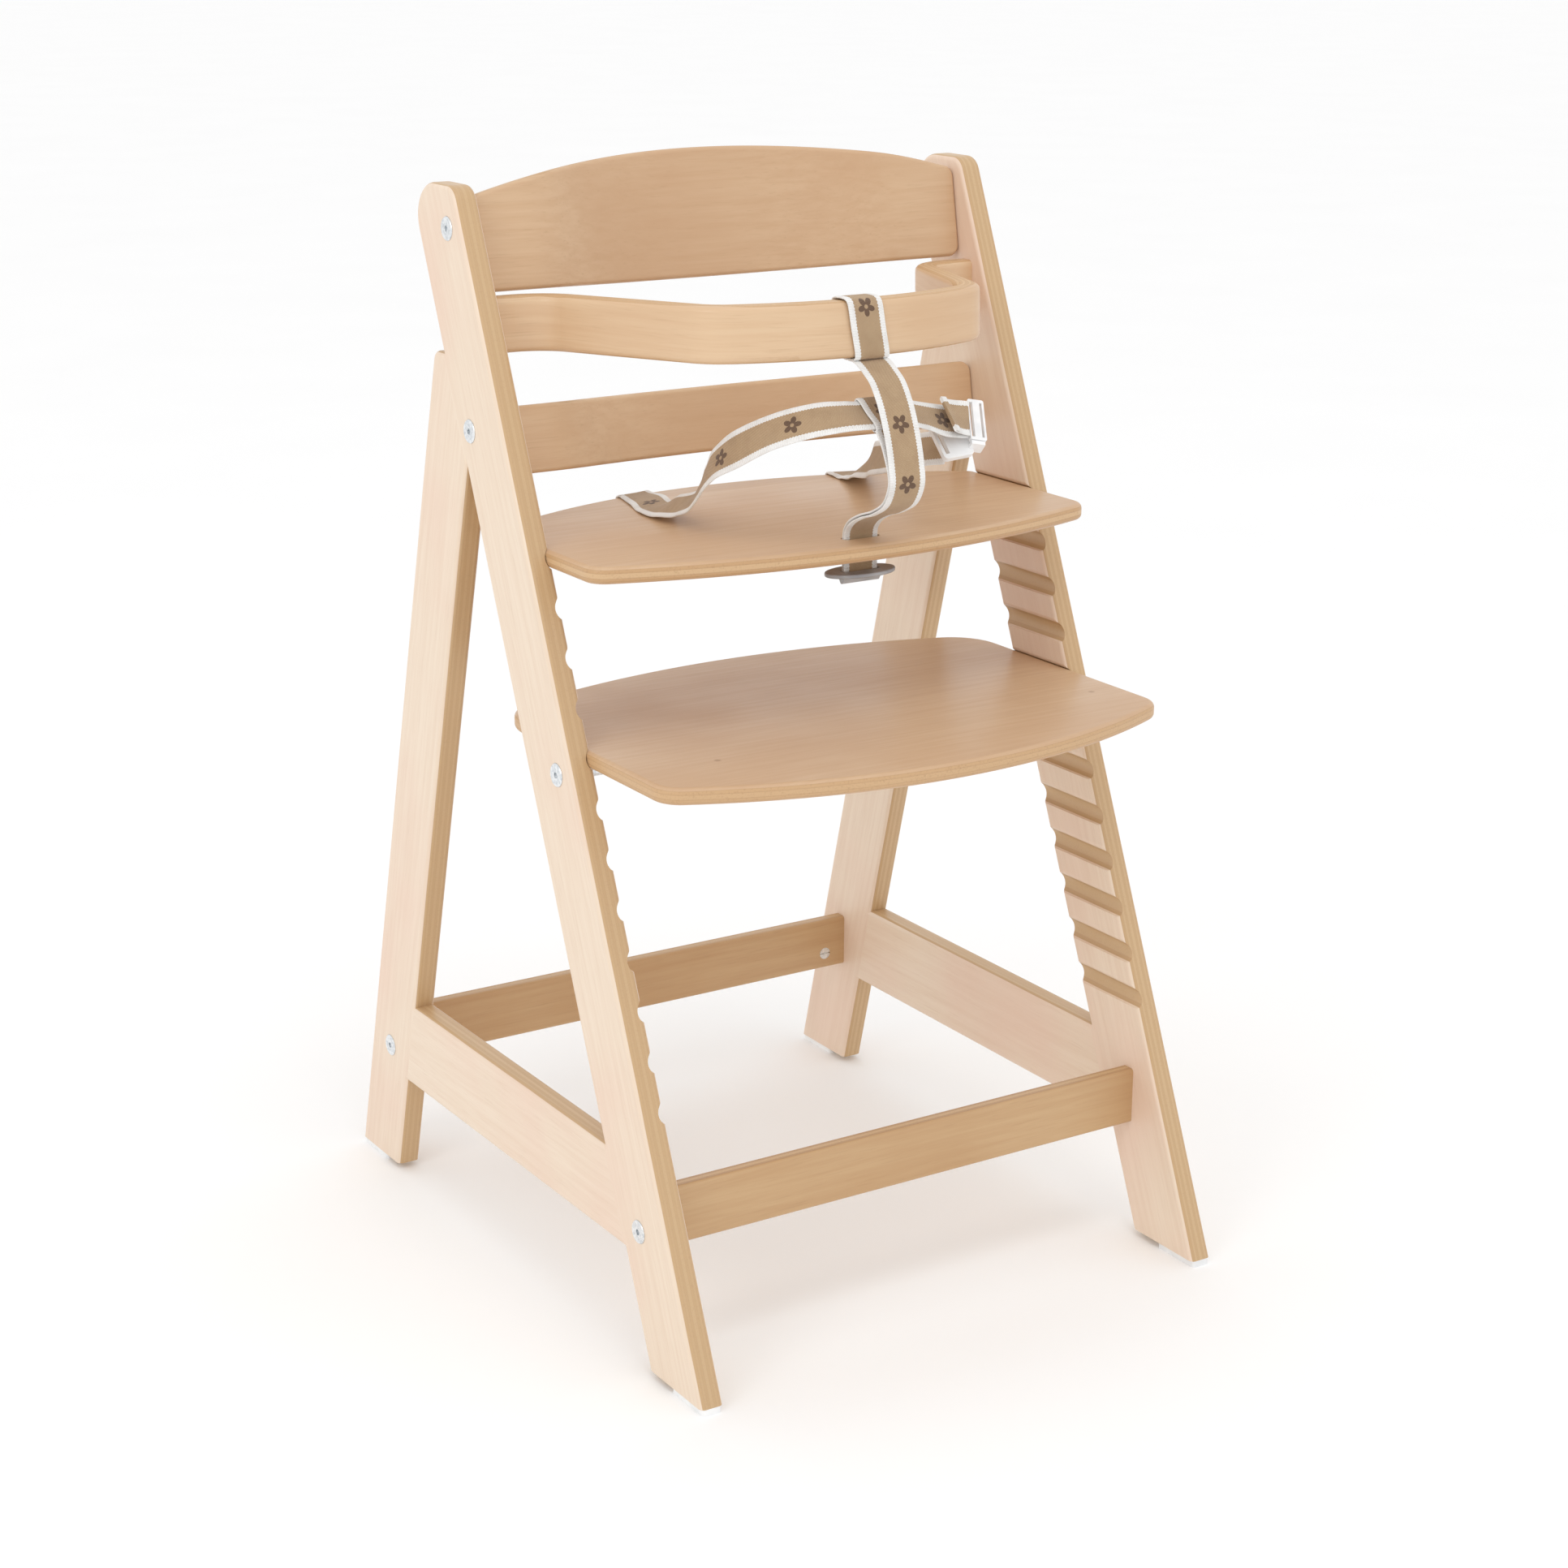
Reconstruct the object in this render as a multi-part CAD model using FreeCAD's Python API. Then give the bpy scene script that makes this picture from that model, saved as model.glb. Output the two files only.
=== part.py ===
import FreeCAD, Part
import math
import os

# Wooden baby high chair, in millimetres.
# X runs across the chair (left is -X as seen from the front), the front faces -Y and +Z is up.
# The origin is on the floor under the middle of the chair.

V = FreeCAD.Vector

# ---- driving dimensions ----------------------------------------------------------------------
DEPTH = 537.0                # front foot to rear foot
FRONT = -DEPTH / 2           # Y of the uprights' front bottom corner
INNER = 203.3                # half the clear width between the side frames
PLY = 18.0                   # thickness of the side frames
OUTER = INNER + PLY
FOOT = 5.0                   # height of the glides
ROUND = 4.0                  # rounded long edges of the side frames

UPRIGHT_LEAN = 0.4176        # rearward run of the uprights per unit of height
UPRIGHT_DEEP = 70.2          # horizontal depth of an upright
UPRIGHT_TOP = 786.5
TOP_FRONT_ROUND = 14.0
TOP_REAR_ROUND = 25.0
LEG_LEAN = 0.2613            # forward run of the rear legs per unit of height
LEG_DEEP = 67.0
LEG_TOP = 670.0
LEG_TOP_ROUND = 7.0
SIDE_RAIL_LOW = 83.8
SIDE_RAIL_HIGH = 151.0

GROOVES = 12
GROOVE_PITCH = 32.3
GROOVE_FIRST = 544.4         # height of the seat's groove, the highest one
GROOVE_ROUND = 8.0
GROOVE_DEEP = 5.0
GROOVE_LIP_ROUND = 6.0
GROOVE_LIP_CUT = 0.2         # how far the lip's round would pass the inner face
FOOTREST_GROOVE = 4          # grooves below the seat's

BOARD = 12.0                 # thickness of seat, footrest, backrests and rails
BOARD_HALF = 207.4           # half the width of the seat and the footrest
BOARD_ROUND = 4.0
SEAT_SIDE = (162.0, 305.0)   # Y behind the front foot where the straight side starts and ends
SEAT_APEX = (125.5, 365.0)   # Y behind the front foot of the front and rear arcs' middles
SEAT_CORNERS = (17.0, 9.0)
FOOTREST_SIDE = (70.0, 296.0)
FOOTREST_APEX = (19.0, 337.5)
FOOTREST_CORNERS = (22.0, 40.0)
SLOT_BACK = 151.0            # Y behind the front foot of the strap slot's middle
SLOT = (31.0, 8.0)

SLAT_LEAN = 10.0             # degrees that both backrests lean back
SLAT_SAG = 30.0              # depth of the backrests' curve
SLAT_BEND = 165.0            # half the width of the bent stretch
SLAT_END_BEND = 110.0        # radius of the return bends beside the straight ends
SLAT_ROUND = 3.0
UPPER_PLACE = (322.5, 716.9)         # Y behind the front foot and height of the reference line
UPPER_EDGES = (-3.5, 62.6, 90.0)     # bottom, top at the ends and top in the middle, from that line
LOWER_PLACE = (305.2, 633.4)
LOWER_EDGES = (-45.5, 2.3, 2.3)
SLAT_CORNER = 9.0

RAIL_FACE = (77.0, 471.2)    # Y behind the front foot of the front and the rear rail's front face
RAIL_LOW = (89.5, 91.7)
RAIL_TALL = 43.2
RAIL_BOLT = (103.5, 104.8)
RAIL_ROUND = 2.5

HOOP_THICK = 16.6
HOOP_TALL = 39.0
HOOP_TOP = 711.5             # top of the hoop at its ends
HOOP_RISE = 1.74             # degrees that the hoop rises towards the front
HOOP_BACK = 314.9            # Y behind the front foot of its ends
HOOP_BEND_X = 160.8          # where the end tabs would meet the side arms
HOOP_TAPER = 20.9            # degrees that each arm turns inwards
HOOP_REAR_BEND = 36.0
HOOP_FRONT_BEND = 33.0
HOOP_FRONT = 147.3           # Y behind the front foot of the front bar's centreline
HOOP_FRONT_ARC = 226.0
HOOP_ROUND = 4.5

BOLT = 3.0                   # shank radius
BOLT_HEAD = 8.35
BOLT_HEAD_PROUD = 0.8
BOLT_HEAD_SUNK = 1.6
BOLT_REACH = 30.0            # length of shank past the side frame's inner face
TIE_BOLT_REACH = 15.0        # the same for the tie rod's bolts
HEX = 2.3                    # socket corner radius
NUT = 5.0                    # barrel nut radius
NUT_IN = 19.5                # barrel nut's distance from the side frame's inner face
PIN = 3.0                    # radius of the dowels beside the bolts
DOWEL = 4.0                  # radius of the frame and hoop dowels
GLUE = 0.05                  # radial gap around a glued dowel
RUN = 0.1                    # radial gap around bolts and nuts

TIE = (189.9, 402.2)         # tie rod: Y behind the front foot and height
TIE_RADIUS = 5.0

GLIDE_FRONT = (0.0, 42.0)    # Y behind the front foot
GLIDE_REAR = (494.0, 537.0)
GLIDE_WIDE = 15.0

WEB = 28.0                   # webbing width
WEB_THICK = 1.6
HANG_TWIST = 0.06            # forward lead of the hanging strap's one edge, per unit of width
LOOP_MID = -4.5              # X of the loop around the hoop, at the middle of its height
LOOP_LEAN = 0.17             # how far that loop leans to the left per unit of height
LOOP_GAP = 0.6               # gap between that loop and the hoop
LOOP_SLACK = 0.8             # more of it above, below and behind
PLATE = (56.0, 30.0, 3.0)    # anchor plate: length, depth and thickness
PLATE_TOP = 527.5
KEEPER = (31.0, 10.0, 7.0)

SEAT_MID = GROOVE_FIRST
SEAT_TOP = SEAT_MID + BOARD / 2
SEAT_BOTTOM = SEAT_MID - BOARD / 2
FOOTREST_MID = GROOVE_FIRST - FOOTREST_GROOVE * GROOVE_PITCH


# ---- helpers -----------------------------------------------------------------------------------
def back(y):
    """Y in the chair's frame of a place that far behind the front foot."""
    return FRONT + y


def save(name, shape):
    shape.exportStep("parts/" + name + ".step")


def both(shape):
    """The shape and its mirror image in the chair's middle plane."""
    return Part.makeCompound([shape, shape.mirror(V(0, 0, 0), V(1, 0, 0))])


def mirrored(shape):
    return shape.mirror(V(0, 0, 0), V(1, 0, 0))


def block(low, high):
    size = [b - a for a, b in zip(low, high)]
    return Part.makeBox(size[0], size[1], size[2], V(*low))


def rod(radius, start, end):
    along = V(*end) - V(*start)
    return Part.makeCylinder(radius, along.Length, V(*start), along)


def rounded_wire(corners, place):
    """A closed wire through corners (u, v, radius), each rounded, placed in space by place(u, v)."""
    edges = []
    count = len(corners)
    starts, ends, middles = [], [], []
    for i, (u, v, radius) in enumerate(corners):
        here = V(u, v, 0)
        to_last = (V(*corners[i - 1][:2], 0) - here).normalize()
        to_next = (V(*corners[(i + 1) % count][:2], 0) - here).normalize()
        half = to_last.getAngle(to_next) / 2
        reach = radius / math.tan(half)
        bisector = (to_last + to_next).normalize()
        starts.append(here + to_last * reach)
        ends.append(here + to_next * reach)
        middles.append(here + bisector * (radius / math.sin(half) - radius))
    for i in range(count):
        if corners[i][2] > 0:
            points = [place(p.x, p.y) for p in (starts[i], middles[i], ends[i])]
            edges.append(Part.Arc(*points).toShape())
        follow = (i + 1) % count
        edges.append(Part.makeLine(place(ends[i].x, ends[i].y), place(starts[follow].x, starts[follow].y)))
    return Part.Wire(edges)


def in_side_plane(y, z):
    return V(0, y, z)


def sharp(points):
    return [(y, z, 0.0) for y, z in points]


def side_prism(corners, low, high):
    """A prism across X from an outline in the side plane."""
    face = Part.Face(rounded_wire(corners, in_side_plane))
    face.translate(V(low, 0, 0))
    return face.extrude(V(high - low, 0, 0))


def webbing(stations, thick=WEB_THICK, wide=WEB, slanted=()):
    """Flat webbing through stations of a middle point and a direction across it, cut slanted at some."""
    wires = []
    points = [V(*point) for point, across in stations]
    for i, (point, across) in enumerate(stations):
        along = points[min(i + 1, len(points) - 1)] - points[max(i - 1, 0)]
        along.normalize()
        side = V(*across)
        if i not in slanted:
            side = side - along * side.dot(along)
        side.normalize()
        up = side.cross(along).normalize()
        half_wide = side * (wide / 2)
        half_thick = up * (thick / 2)
        middle = points[i]
        ring = [
            middle - half_wide - half_thick,
            middle + half_wide - half_thick,
            middle + half_wide + half_thick,
            middle - half_wide + half_thick,
        ]
        wires.append(Part.makePolygon(ring + ring[:1]))
    return Part.makeLoft(wires, True, True)


# ---- side frames -------------------------------------------------------------------------------
def upright_front(z):
    return FRONT + (z - FOOT) * UPRIGHT_LEAN


def upright_rear(z):
    return upright_front(z) + UPRIGHT_DEEP


def leg_front(z):
    return FRONT + DEPTH - LEG_DEEP - (z - FOOT) * LEG_LEAN


def leg_rear(z):
    return leg_front(z) + LEG_DEEP


def frame_outline():
    """Outer outline of one side frame: upright, rear leg and side rail together."""
    return [
        (upright_front(FOOT), FOOT, 0.0),
        (upright_front(UPRIGHT_TOP), UPRIGHT_TOP, TOP_FRONT_ROUND),
        (upright_rear(UPRIGHT_TOP), UPRIGHT_TOP, TOP_REAR_ROUND),
        (upright_rear(LEG_TOP), LEG_TOP, 0.0),
        (leg_rear(LEG_TOP), LEG_TOP, LEG_TOP_ROUND),
        (leg_rear(FOOT), FOOT, 0.0),
        (leg_front(FOOT), FOOT, 0.0),
        (leg_front(SIDE_RAIL_LOW), SIDE_RAIL_LOW, 0.0),
        (upright_rear(SIDE_RAIL_LOW), SIDE_RAIL_LOW, 0.0),
        (upright_rear(FOOT), FOOT, 0.0),
    ]


def apex_height():
    """Height where the leg's front edge meets the upright's rear edge."""
    gap = leg_front(FOOT) - upright_rear(FOOT)
    return FOOT + gap / (UPRIGHT_LEAN + LEG_LEAN)


def frame_opening():
    apex = apex_height()
    return sharp([
        (upright_rear(SIDE_RAIL_HIGH), SIDE_RAIL_HIGH),
        (upright_rear(apex), apex),
        (leg_front(SIDE_RAIL_HIGH), SIDE_RAIL_HIGH),
    ])


def side_frame():
    """The right side frame in one piece, with its long edges rounded but not its feet."""
    solid = side_prism(frame_outline(), INNER, OUTER)
    solid = solid.cut(side_prism(frame_opening(), INNER - 1, OUTER + 1))
    edges = []
    for edge in solid.Edges:
        box = edge.BoundBox
        across = box.XLength > 0.01
        on_foot = box.ZMax < FOOT + 0.01
        if not across and not on_foot:
            edges.append(edge)
    return solid.makeFillet(ROUND, edges)


def upright_zone():
    """Everything in front of the upright's rear edge."""
    high = UPRIGHT_TOP + 20
    return side_prism(sharp([
        (FRONT - 20, FOOT - 10),
        (FRONT - 20, high),
        (upright_rear(high), high),
        (upright_rear(FOOT - 10), FOOT - 10),
    ]), INNER - 1, OUTER + 1)


def leg_zone():
    """Everything behind the leg's front edge."""
    high = UPRIGHT_TOP + 20
    return side_prism(sharp([
        (leg_front(FOOT - 10), FOOT - 10),
        (leg_front(high), high),
        (FRONT + DEPTH + 20, high),
        (FRONT + DEPTH + 20, FOOT - 10),
    ]), INNER - 1, OUTER + 1)


def groove(height):
    """Space of one groove: a round channel along Y with a softened upper lip."""
    middle_x = INNER + GROOVE_DEEP - GROOVE_ROUND
    inset = INNER - middle_x
    mouth = math.sqrt(GROOVE_ROUND ** 2 - inset ** 2)
    lip_in = GROOVE_LIP_ROUND - GROOVE_LIP_CUT
    span = GROOVE_ROUND + GROOVE_LIP_ROUND
    reach = inset + lip_in
    rise = math.sqrt(span ** 2 - reach ** 2)
    share = GROOVE_ROUND / span
    low = V(INNER, 0, height - mouth)
    deep = V(INNER + GROOVE_DEEP, 0, height)
    join = V(middle_x + reach * share, 0, height + rise * share)
    lip_middle = V(INNER + lip_in, 0, height + rise)
    top = V(INNER, 0, height + rise - math.sqrt(GROOVE_LIP_ROUND ** 2 - lip_in ** 2))
    between = (join - lip_middle).normalize() + (top - lip_middle).normalize()
    lip = lip_middle + between.normalize() * GROOVE_LIP_ROUND
    clear = V(-2, 0, 0)
    edges = [
        Part.Arc(low, deep, join).toShape(),
        Part.Arc(join, lip, top).toShape(),
        Part.makeLine(top, top + clear),
        Part.makeLine(top + clear, low + clear),
        Part.makeLine(low + clear, low),
    ]
    face = Part.Face(Part.Wire(edges))
    face.translate(V(0, FRONT - 10, 0))
    return face.extrude(V(0, DEPTH + 20, 0))


def groove_heights():
    return [GROOVE_FIRST - i * GROOVE_PITCH for i in range(GROOVES)]


def frame_dowel_lines():
    """Ends of the dowels that join rail to upright, rail to leg and leg to upright."""
    x = INNER + PLY / 2
    lines = []
    for z in (SIDE_RAIL_LOW + 17, SIDE_RAIL_HIGH - 17):
        for y in (upright_rear(z), leg_front(z)):
            lines.append(((x, y - 22, z), (x, y + 22, z)))
    slope = math.atan(UPRIGHT_LEAN)
    for z in (LEG_TOP - 46, LEG_TOP - 22):
        y = upright_rear(z)
        reach = (14 * math.cos(slope), -14 * math.sin(slope))
        lines.append(((x, y - reach[0], z - reach[1]), (x, y + reach[0], z + reach[1])))
    return lines


# ---- fasteners ---------------------------------------------------------------------------------
def bolt(y, z, reach=BOLT_REACH):
    """A connector bolt along X on the right side, with a flat head and a hexagon socket."""
    seat = OUTER - BOLT_HEAD_SUNK
    head = rod(BOLT_HEAD, (seat, y, z), (OUTER + BOLT_HEAD_PROUD, y, z))
    head = head.makeChamfer(0.5, [e for e in head.Edges if e.BoundBox.XMin > OUTER])
    shank = rod(BOLT, (INNER - reach, y, z), (seat, y, z))
    ring = [
        V(OUTER - 0.9, y + HEX * math.cos(a), z + HEX * math.sin(a))
        for a in [math.radians(60 * i) for i in range(7)]
    ]
    socket = Part.Face(Part.makePolygon(ring)).extrude(V(3, 0, 0))
    return head.fuse(shank).cut(socket).removeSplitter()


def bolt_space(y, z, reach=BOLT_REACH):
    """Clearance for that bolt through the side frame and into the board behind it."""
    hole = rod(BOLT + RUN, (INNER - reach - 2, y, z), (OUTER + 2, y, z))
    sink = rod(BOLT_HEAD + RUN, (OUTER - BOLT_HEAD_SUNK, y, z), (OUTER + 2, y, z))
    return hole.fuse(sink)


# ---- backrests ---------------------------------------------------------------------------------
def lean(shape, place):
    """Tilts a backrest piece from upright to its place in the chair."""
    moved = shape.copy()
    moved.rotate(V(0, 0, 0), V(1, 0, 0), -SLAT_LEAN)
    moved.translate(V(0, back(place[0]), place[1]))
    return moved


def leaned_point(y, z, place):
    a = math.radians(SLAT_LEAN)
    return (back(place[0]) + z * math.sin(a) + y * math.cos(a), place[1] + z * math.cos(a) - y * math.sin(a))


def slat_curve(offset):
    """Plan curve of a backrest face, offset rearwards: straight ends, return bends and one main arc."""
    turn = 2 * math.atan(SLAT_SAG / SLAT_BEND)
    total = SLAT_BEND / math.sin(turn)
    main = total - SLAT_END_BEND
    inner = SLAT_END_BEND - offset
    outer = main + offset

    def end_bend(share, side):
        a = turn * share
        return V(side * (SLAT_BEND - inner * math.sin(a)), offset + inner * (1 - math.cos(a)), 0)

    top = V(0, SLAT_SAG + offset, 0)
    left = [V(-INNER, offset, 0), end_bend(0, -1), end_bend(0.5, -1), end_bend(1, -1)]
    right = [end_bend(1, 1), end_bend(0.5, 1), end_bend(0, 1), V(INNER, offset, 0)]
    return [
        Part.makeLine(left[0], left[1]),
        Part.Arc(left[1], left[2], left[3]).toShape(),
        Part.Arc(left[3], top, right[0]).toShape(),
        Part.Arc(right[0], right[1], right[2]).toShape(),
        Part.makeLine(right[2], right[3]),
    ]


def slat(edges):
    """A bent plywood backrest standing upright: bottom straight, top an arc or straight."""
    bottom, top_end, top_middle = edges
    front = Part.Wire(slat_curve(0))
    rear = Part.Wire(slat_curve(BOARD))
    ends = [
        Part.makeLine(front.Vertexes[0].Point, rear.Vertexes[0].Point),
        Part.makeLine(front.Vertexes[-1].Point, rear.Vertexes[-1].Point),
    ]
    loop = Part.Wire(Part.__sortEdges__(front.Edges + rear.Edges + ends))
    band = Part.Face(loop)
    band.translate(V(0, 0, bottom - 20))
    band = band.extrude(V(0, 0, top_middle - bottom + 40))
    low = [V(-INNER, 0, bottom), V(INNER, 0, bottom)]
    high = [V(INNER, 0, top_end), V(-INNER, 0, top_end)]
    if top_middle > top_end:
        top = Part.Arc(high[0], V(0, 0, top_middle), high[1]).toShape()
    else:
        top = Part.makeLine(high[0], high[1])
    sides = [Part.makeLine(low[0], low[1]), Part.makeLine(low[1], high[0]), top, Part.makeLine(high[1], low[0])]
    outline = Part.Face(Part.Wire(sides))
    outline.translate(V(0, -60, 0))
    prism = outline.extrude(V(0, 160, 0))
    upright_edges = [e for e in prism.Edges if e.BoundBox.YLength > 100]
    prism = prism.makeFillet(SLAT_CORNER, upright_edges)
    solid = band.common(prism).removeSplitter()
    rim = [e for e in solid.Edges if is_rim(e, bottom, top_middle)]
    return solid.makeFillet(SLAT_ROUND, rim)


def is_rim(edge, bottom, top):
    """True for the edges around a slat's two faces, and not for those across its thickness."""
    box = edge.BoundBox
    tall_seam = box.XLength < 0.01 and box.ZLength > 0.7 * (top - bottom) and abs(box.XMin) < INNER - 1
    across = abs(box.YLength - BOARD) < 0.5 and box.XLength < 6 and box.ZLength < 1
    return not tall_seam and not across


# ---- safety hoop -------------------------------------------------------------------------------
def hoop_marks(offset):
    """Plan points of one half of the hoop at an offset outwards from its centreline, tab end first."""
    taper = math.radians(HOOP_TAPER)
    arm = V(-math.sin(taper), -math.cos(taper), 0)
    outwards = V(math.cos(taper), -math.sin(taper), 0)
    bend = V(HOOP_BEND_X, HOOP_BACK, 0)
    half = (math.pi / 2 - taper) / 2
    reach = HOOP_REAR_BEND * math.tan(half)
    rear_middle = V(HOOP_BEND_X + reach, HOOP_BACK - HOOP_REAR_BEND, 0)
    arc_middle = V(0, HOOP_FRONT + HOOP_FRONT_ARC, 0)
    line = bend + outwards * -HOOP_FRONT_BEND
    gap = HOOP_FRONT_ARC - HOOP_FRONT_BEND
    away = line - arc_middle
    along = away.dot(arm)
    run = -along + math.sqrt(along ** 2 - away.dot(away) + gap ** 2)
    front_middle = line + arm * run
    front_way = (front_middle - arc_middle).normalize()
    rear_radius = HOOP_REAR_BEND - offset
    front_radius = HOOP_FRONT_BEND + offset
    front_turn = (outwards + front_way).normalize()
    rear_turn = (V(0, 1, 0) - outwards).normalize()
    return {
        "tab": V(INNER, HOOP_BACK + offset * -1, 0),
        "rear": [rear_middle + V(0, 1, 0) * (HOOP_REAR_BEND - offset),
                 rear_middle + rear_turn * rear_radius,
                 rear_middle - outwards * rear_radius],
        "front": [front_middle + outwards * front_radius,
                  front_middle + front_turn * front_radius,
                  front_middle + front_way * front_radius],
        "nose": arc_middle + V(0, -1, 0) * (HOOP_FRONT_ARC + offset),
    }


def flipped(point):
    return V(-point.x, point.y, point.z)


def hoop_edges(offset):
    half = hoop_marks(offset)
    edges = []
    for turn in (lambda p: p, flipped):
        rear = [turn(p) for p in half["rear"]]
        front = [turn(p) for p in half["front"]]
        edges.append(Part.makeLine(turn(half["tab"]), rear[0]))
        edges.append(Part.Arc(*rear).toShape())
        edges.append(Part.makeLine(rear[2], front[0]))
        edges.append(Part.Arc(*front).toShape())
    edges.append(Part.Arc(half["front"][2], half["nose"], flipped(half["front"][2])).toShape())
    return edges


def hoop():
    """The bent bar, flat when made and then tilted so that its front rises."""
    outer = hoop_edges(HOOP_THICK / 2)
    inner = hoop_edges(-HOOP_THICK / 2)
    tabs = [hoop_marks(side * HOOP_THICK / 2)["tab"] for side in (1, -1)]
    ends = [Part.makeLine(*tabs), Part.makeLine(*[flipped(p) for p in tabs])]
    face = Part.Face(Part.Wire(Part.__sortEdges__(outer + inner + ends)))
    solid = face.extrude(V(0, 0, -HOOP_TALL))
    rim = [e for e in solid.Edges if e.BoundBox.ZLength < 0.01 and abs(e.BoundBox.Center.x) < INNER - 0.1]
    solid = solid.makeFillet(HOOP_ROUND, rim)
    solid.rotate(V(0, HOOP_BACK, 0), V(1, 0, 0), -HOOP_RISE)
    solid.translate(V(0, FRONT, HOOP_TOP))
    return solid


def hoop_dowel_lines():
    y = back(HOOP_BACK)
    heights = (HOOP_TOP - 11, HOOP_TOP - 28)
    return [((INNER - 20, y, z), (INNER + 13, y, z)) for z in heights]


# ---- boards ------------------------------------------------------------------------------------
def board(side, apex, corners, middle):
    """Seat or footrest: straight sides, arched front and rear edges, rounded corners and rims."""
    front, rear = back(side[0]), back(side[1])
    points = [V(-BOARD_HALF, front, 0), V(BOARD_HALF, front, 0), V(BOARD_HALF, rear, 0), V(-BOARD_HALF, rear, 0)]
    edges = [
        Part.Arc(points[0], V(0, back(apex[0]), 0), points[1]).toShape(),
        Part.makeLine(points[1], points[2]),
        Part.Arc(points[2], V(0, back(apex[1]), 0), points[3]).toShape(),
        Part.makeLine(points[3], points[0]),
    ]
    face = Part.Face(Part.Wire(edges))
    face.translate(V(0, 0, middle - BOARD / 2))
    solid = face.extrude(V(0, 0, BOARD))
    for corner_y, radius in zip((front, rear), corners):
        posts = [e for e in solid.Edges if is_post(e, corner_y)]
        solid = solid.makeFillet(radius, posts)
    rim = [e for e in solid.Edges if e.BoundBox.ZLength < 0.01]
    return solid.makeFillet(BOARD_ROUND, rim)


def is_post(edge, y):
    box = edge.BoundBox
    return box.ZLength > BOARD - 0.1 and abs(box.YMin - y) < 0.1 and abs(abs(box.XMin) - BOARD_HALF) < 0.1


def slot_space():
    """Round-ended slot for the strap through the seat board."""
    half = SLOT[0] / 2 - SLOT[1] / 2
    y = back(SLOT_BACK)
    low, high = SEAT_BOTTOM - 1, SEAT_TOP + 1
    middle = block((-half, y - SLOT[1] / 2, low), (half, y + SLOT[1] / 2, high))
    ends = [rod(SLOT[1] / 2, (x, y, low), (x, y, high)) for x in (-half, half)]
    return middle.fuse(ends).removeSplitter()


def rail(face, low):
    solid = block((-INNER, back(face), low), (INNER, back(face) + BOARD, low + RAIL_TALL))
    rim = [e for e in solid.Edges if e.BoundBox.XLength > 100]
    return solid.makeFillet(RAIL_ROUND, rim)


# ---- harness -----------------------------------------------------------------------------------
def place(x, y, z):
    return (x, back(y), z)


def crotch_strap():
    """Front layer of the crotch strap, with its loop around the hoop's front bar."""
    run = [(147, 675.6), (140, 675.2), (133, 672.3), (127, 668.5), (120, 663.5), (110.7, 651), (104.2, 637.7),
           (99.2, 624.4), (95.7, 610.8), (94.1, 597), (101, 583), (116, 574), (132.4, 568.4), (144, 562.3),
           (149.2, 556), (150.0, 549), (150.0, 535), (150.0, 524.8)]
    stations = [(place(-0.5, y, z), (1, -HANG_TWIST * hanging_share(z), 0)) for y, z in run]
    loop = loop_band(LOOP_GAP + WEB_THICK).cut(loop_band(LOOP_GAP))
    return loop.fuse(webbing(stations)).removeSplitter()


def hanging_share(z):
    """0 at the seat, 1 in the free stretch above it, where the strap is slightly twisted."""
    return min(max((z - SEAT_TOP - 15) / 30, 0), 1)


def loop_band(gap):
    """Solid block around the hoop's front bar at a distance from it, tilted with the hoop."""
    front = HOOP_FRONT - HOOP_THICK / 2 - gap
    rear = HOOP_FRONT + HOOP_THICK / 2 + LOOP_SLACK + gap
    low, high = -HOOP_TALL - LOOP_SLACK - gap, LOOP_SLACK + gap
    corners = [(front, low), (front, high), (rear, high), (rear, low)]
    band = side_prism([(y, z, HOOP_ROUND) for y, z in corners], LOOP_MID - WEB / 2, LOOP_MID + WEB / 2)
    leaned = FreeCAD.Matrix()
    leaned.A13 = -LOOP_LEAN
    leaned.A14 = -LOOP_LEAN * HOOP_TALL / 2
    band = band.transformGeometry(leaned)
    band.rotate(V(0, HOOP_BACK, 0), V(1, 0, 0), -HOOP_RISE)
    band.translate(V(0, FRONT, HOOP_TOP))
    return band


WAIST_MID = (126.0, 640.5)   # where the waist strap passes behind the crotch strap
WAIST_TILT = 33.0            # degrees that its width rises towards the rear there
LAYERS_PART = 622.0          # height where the crotch strap's two layers part


def strap_loop():
    """Back layer of the crotch strap, sewn into a tunnel around the waist strap."""
    run = [(112.9, 632.0), (106.2, 622.8), (100.9, 613.5), (97.0, 604.5), (96.4, 597.2), (102.6, 584.6),
           (116.9, 576.0), (133.2, 570.4), (145.3, 564.1), (151.2, 556.9), (152.2, 549), (152.2, 535),
           (152.2, 524.8)]
    stations = []
    for y, z in run:
        share = min(hanging_share(z), max((LAYERS_PART - z) / 15, 0))
        stations.append((place(-0.2, y, z), (1, -HANG_TWIST * share, 0)))
    tube = tunnel(WEB / 2 + 0.8 + WEB_THICK, 1.6 + WEB_THICK).cut(tunnel(WEB / 2 + 0.8, 1.6))
    return tube.fuse(webbing(stations)).removeSplitter()


def tunnel(half_wide, half_thick):
    """Round-ended prism across X around the waist strap."""
    box = block((-WEB / 2, -half_wide, -half_thick), (WEB / 2, half_wide, half_thick))
    box = box.makeFillet(half_thick * 0.98, [e for e in box.Edges if e.BoundBox.XLength > 5])
    box.rotate(V(0, 0, 0), V(1, 0, 0), WAIST_TILT)
    box.translate(V(*place(0, *WAIST_MID)))
    return box


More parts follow.
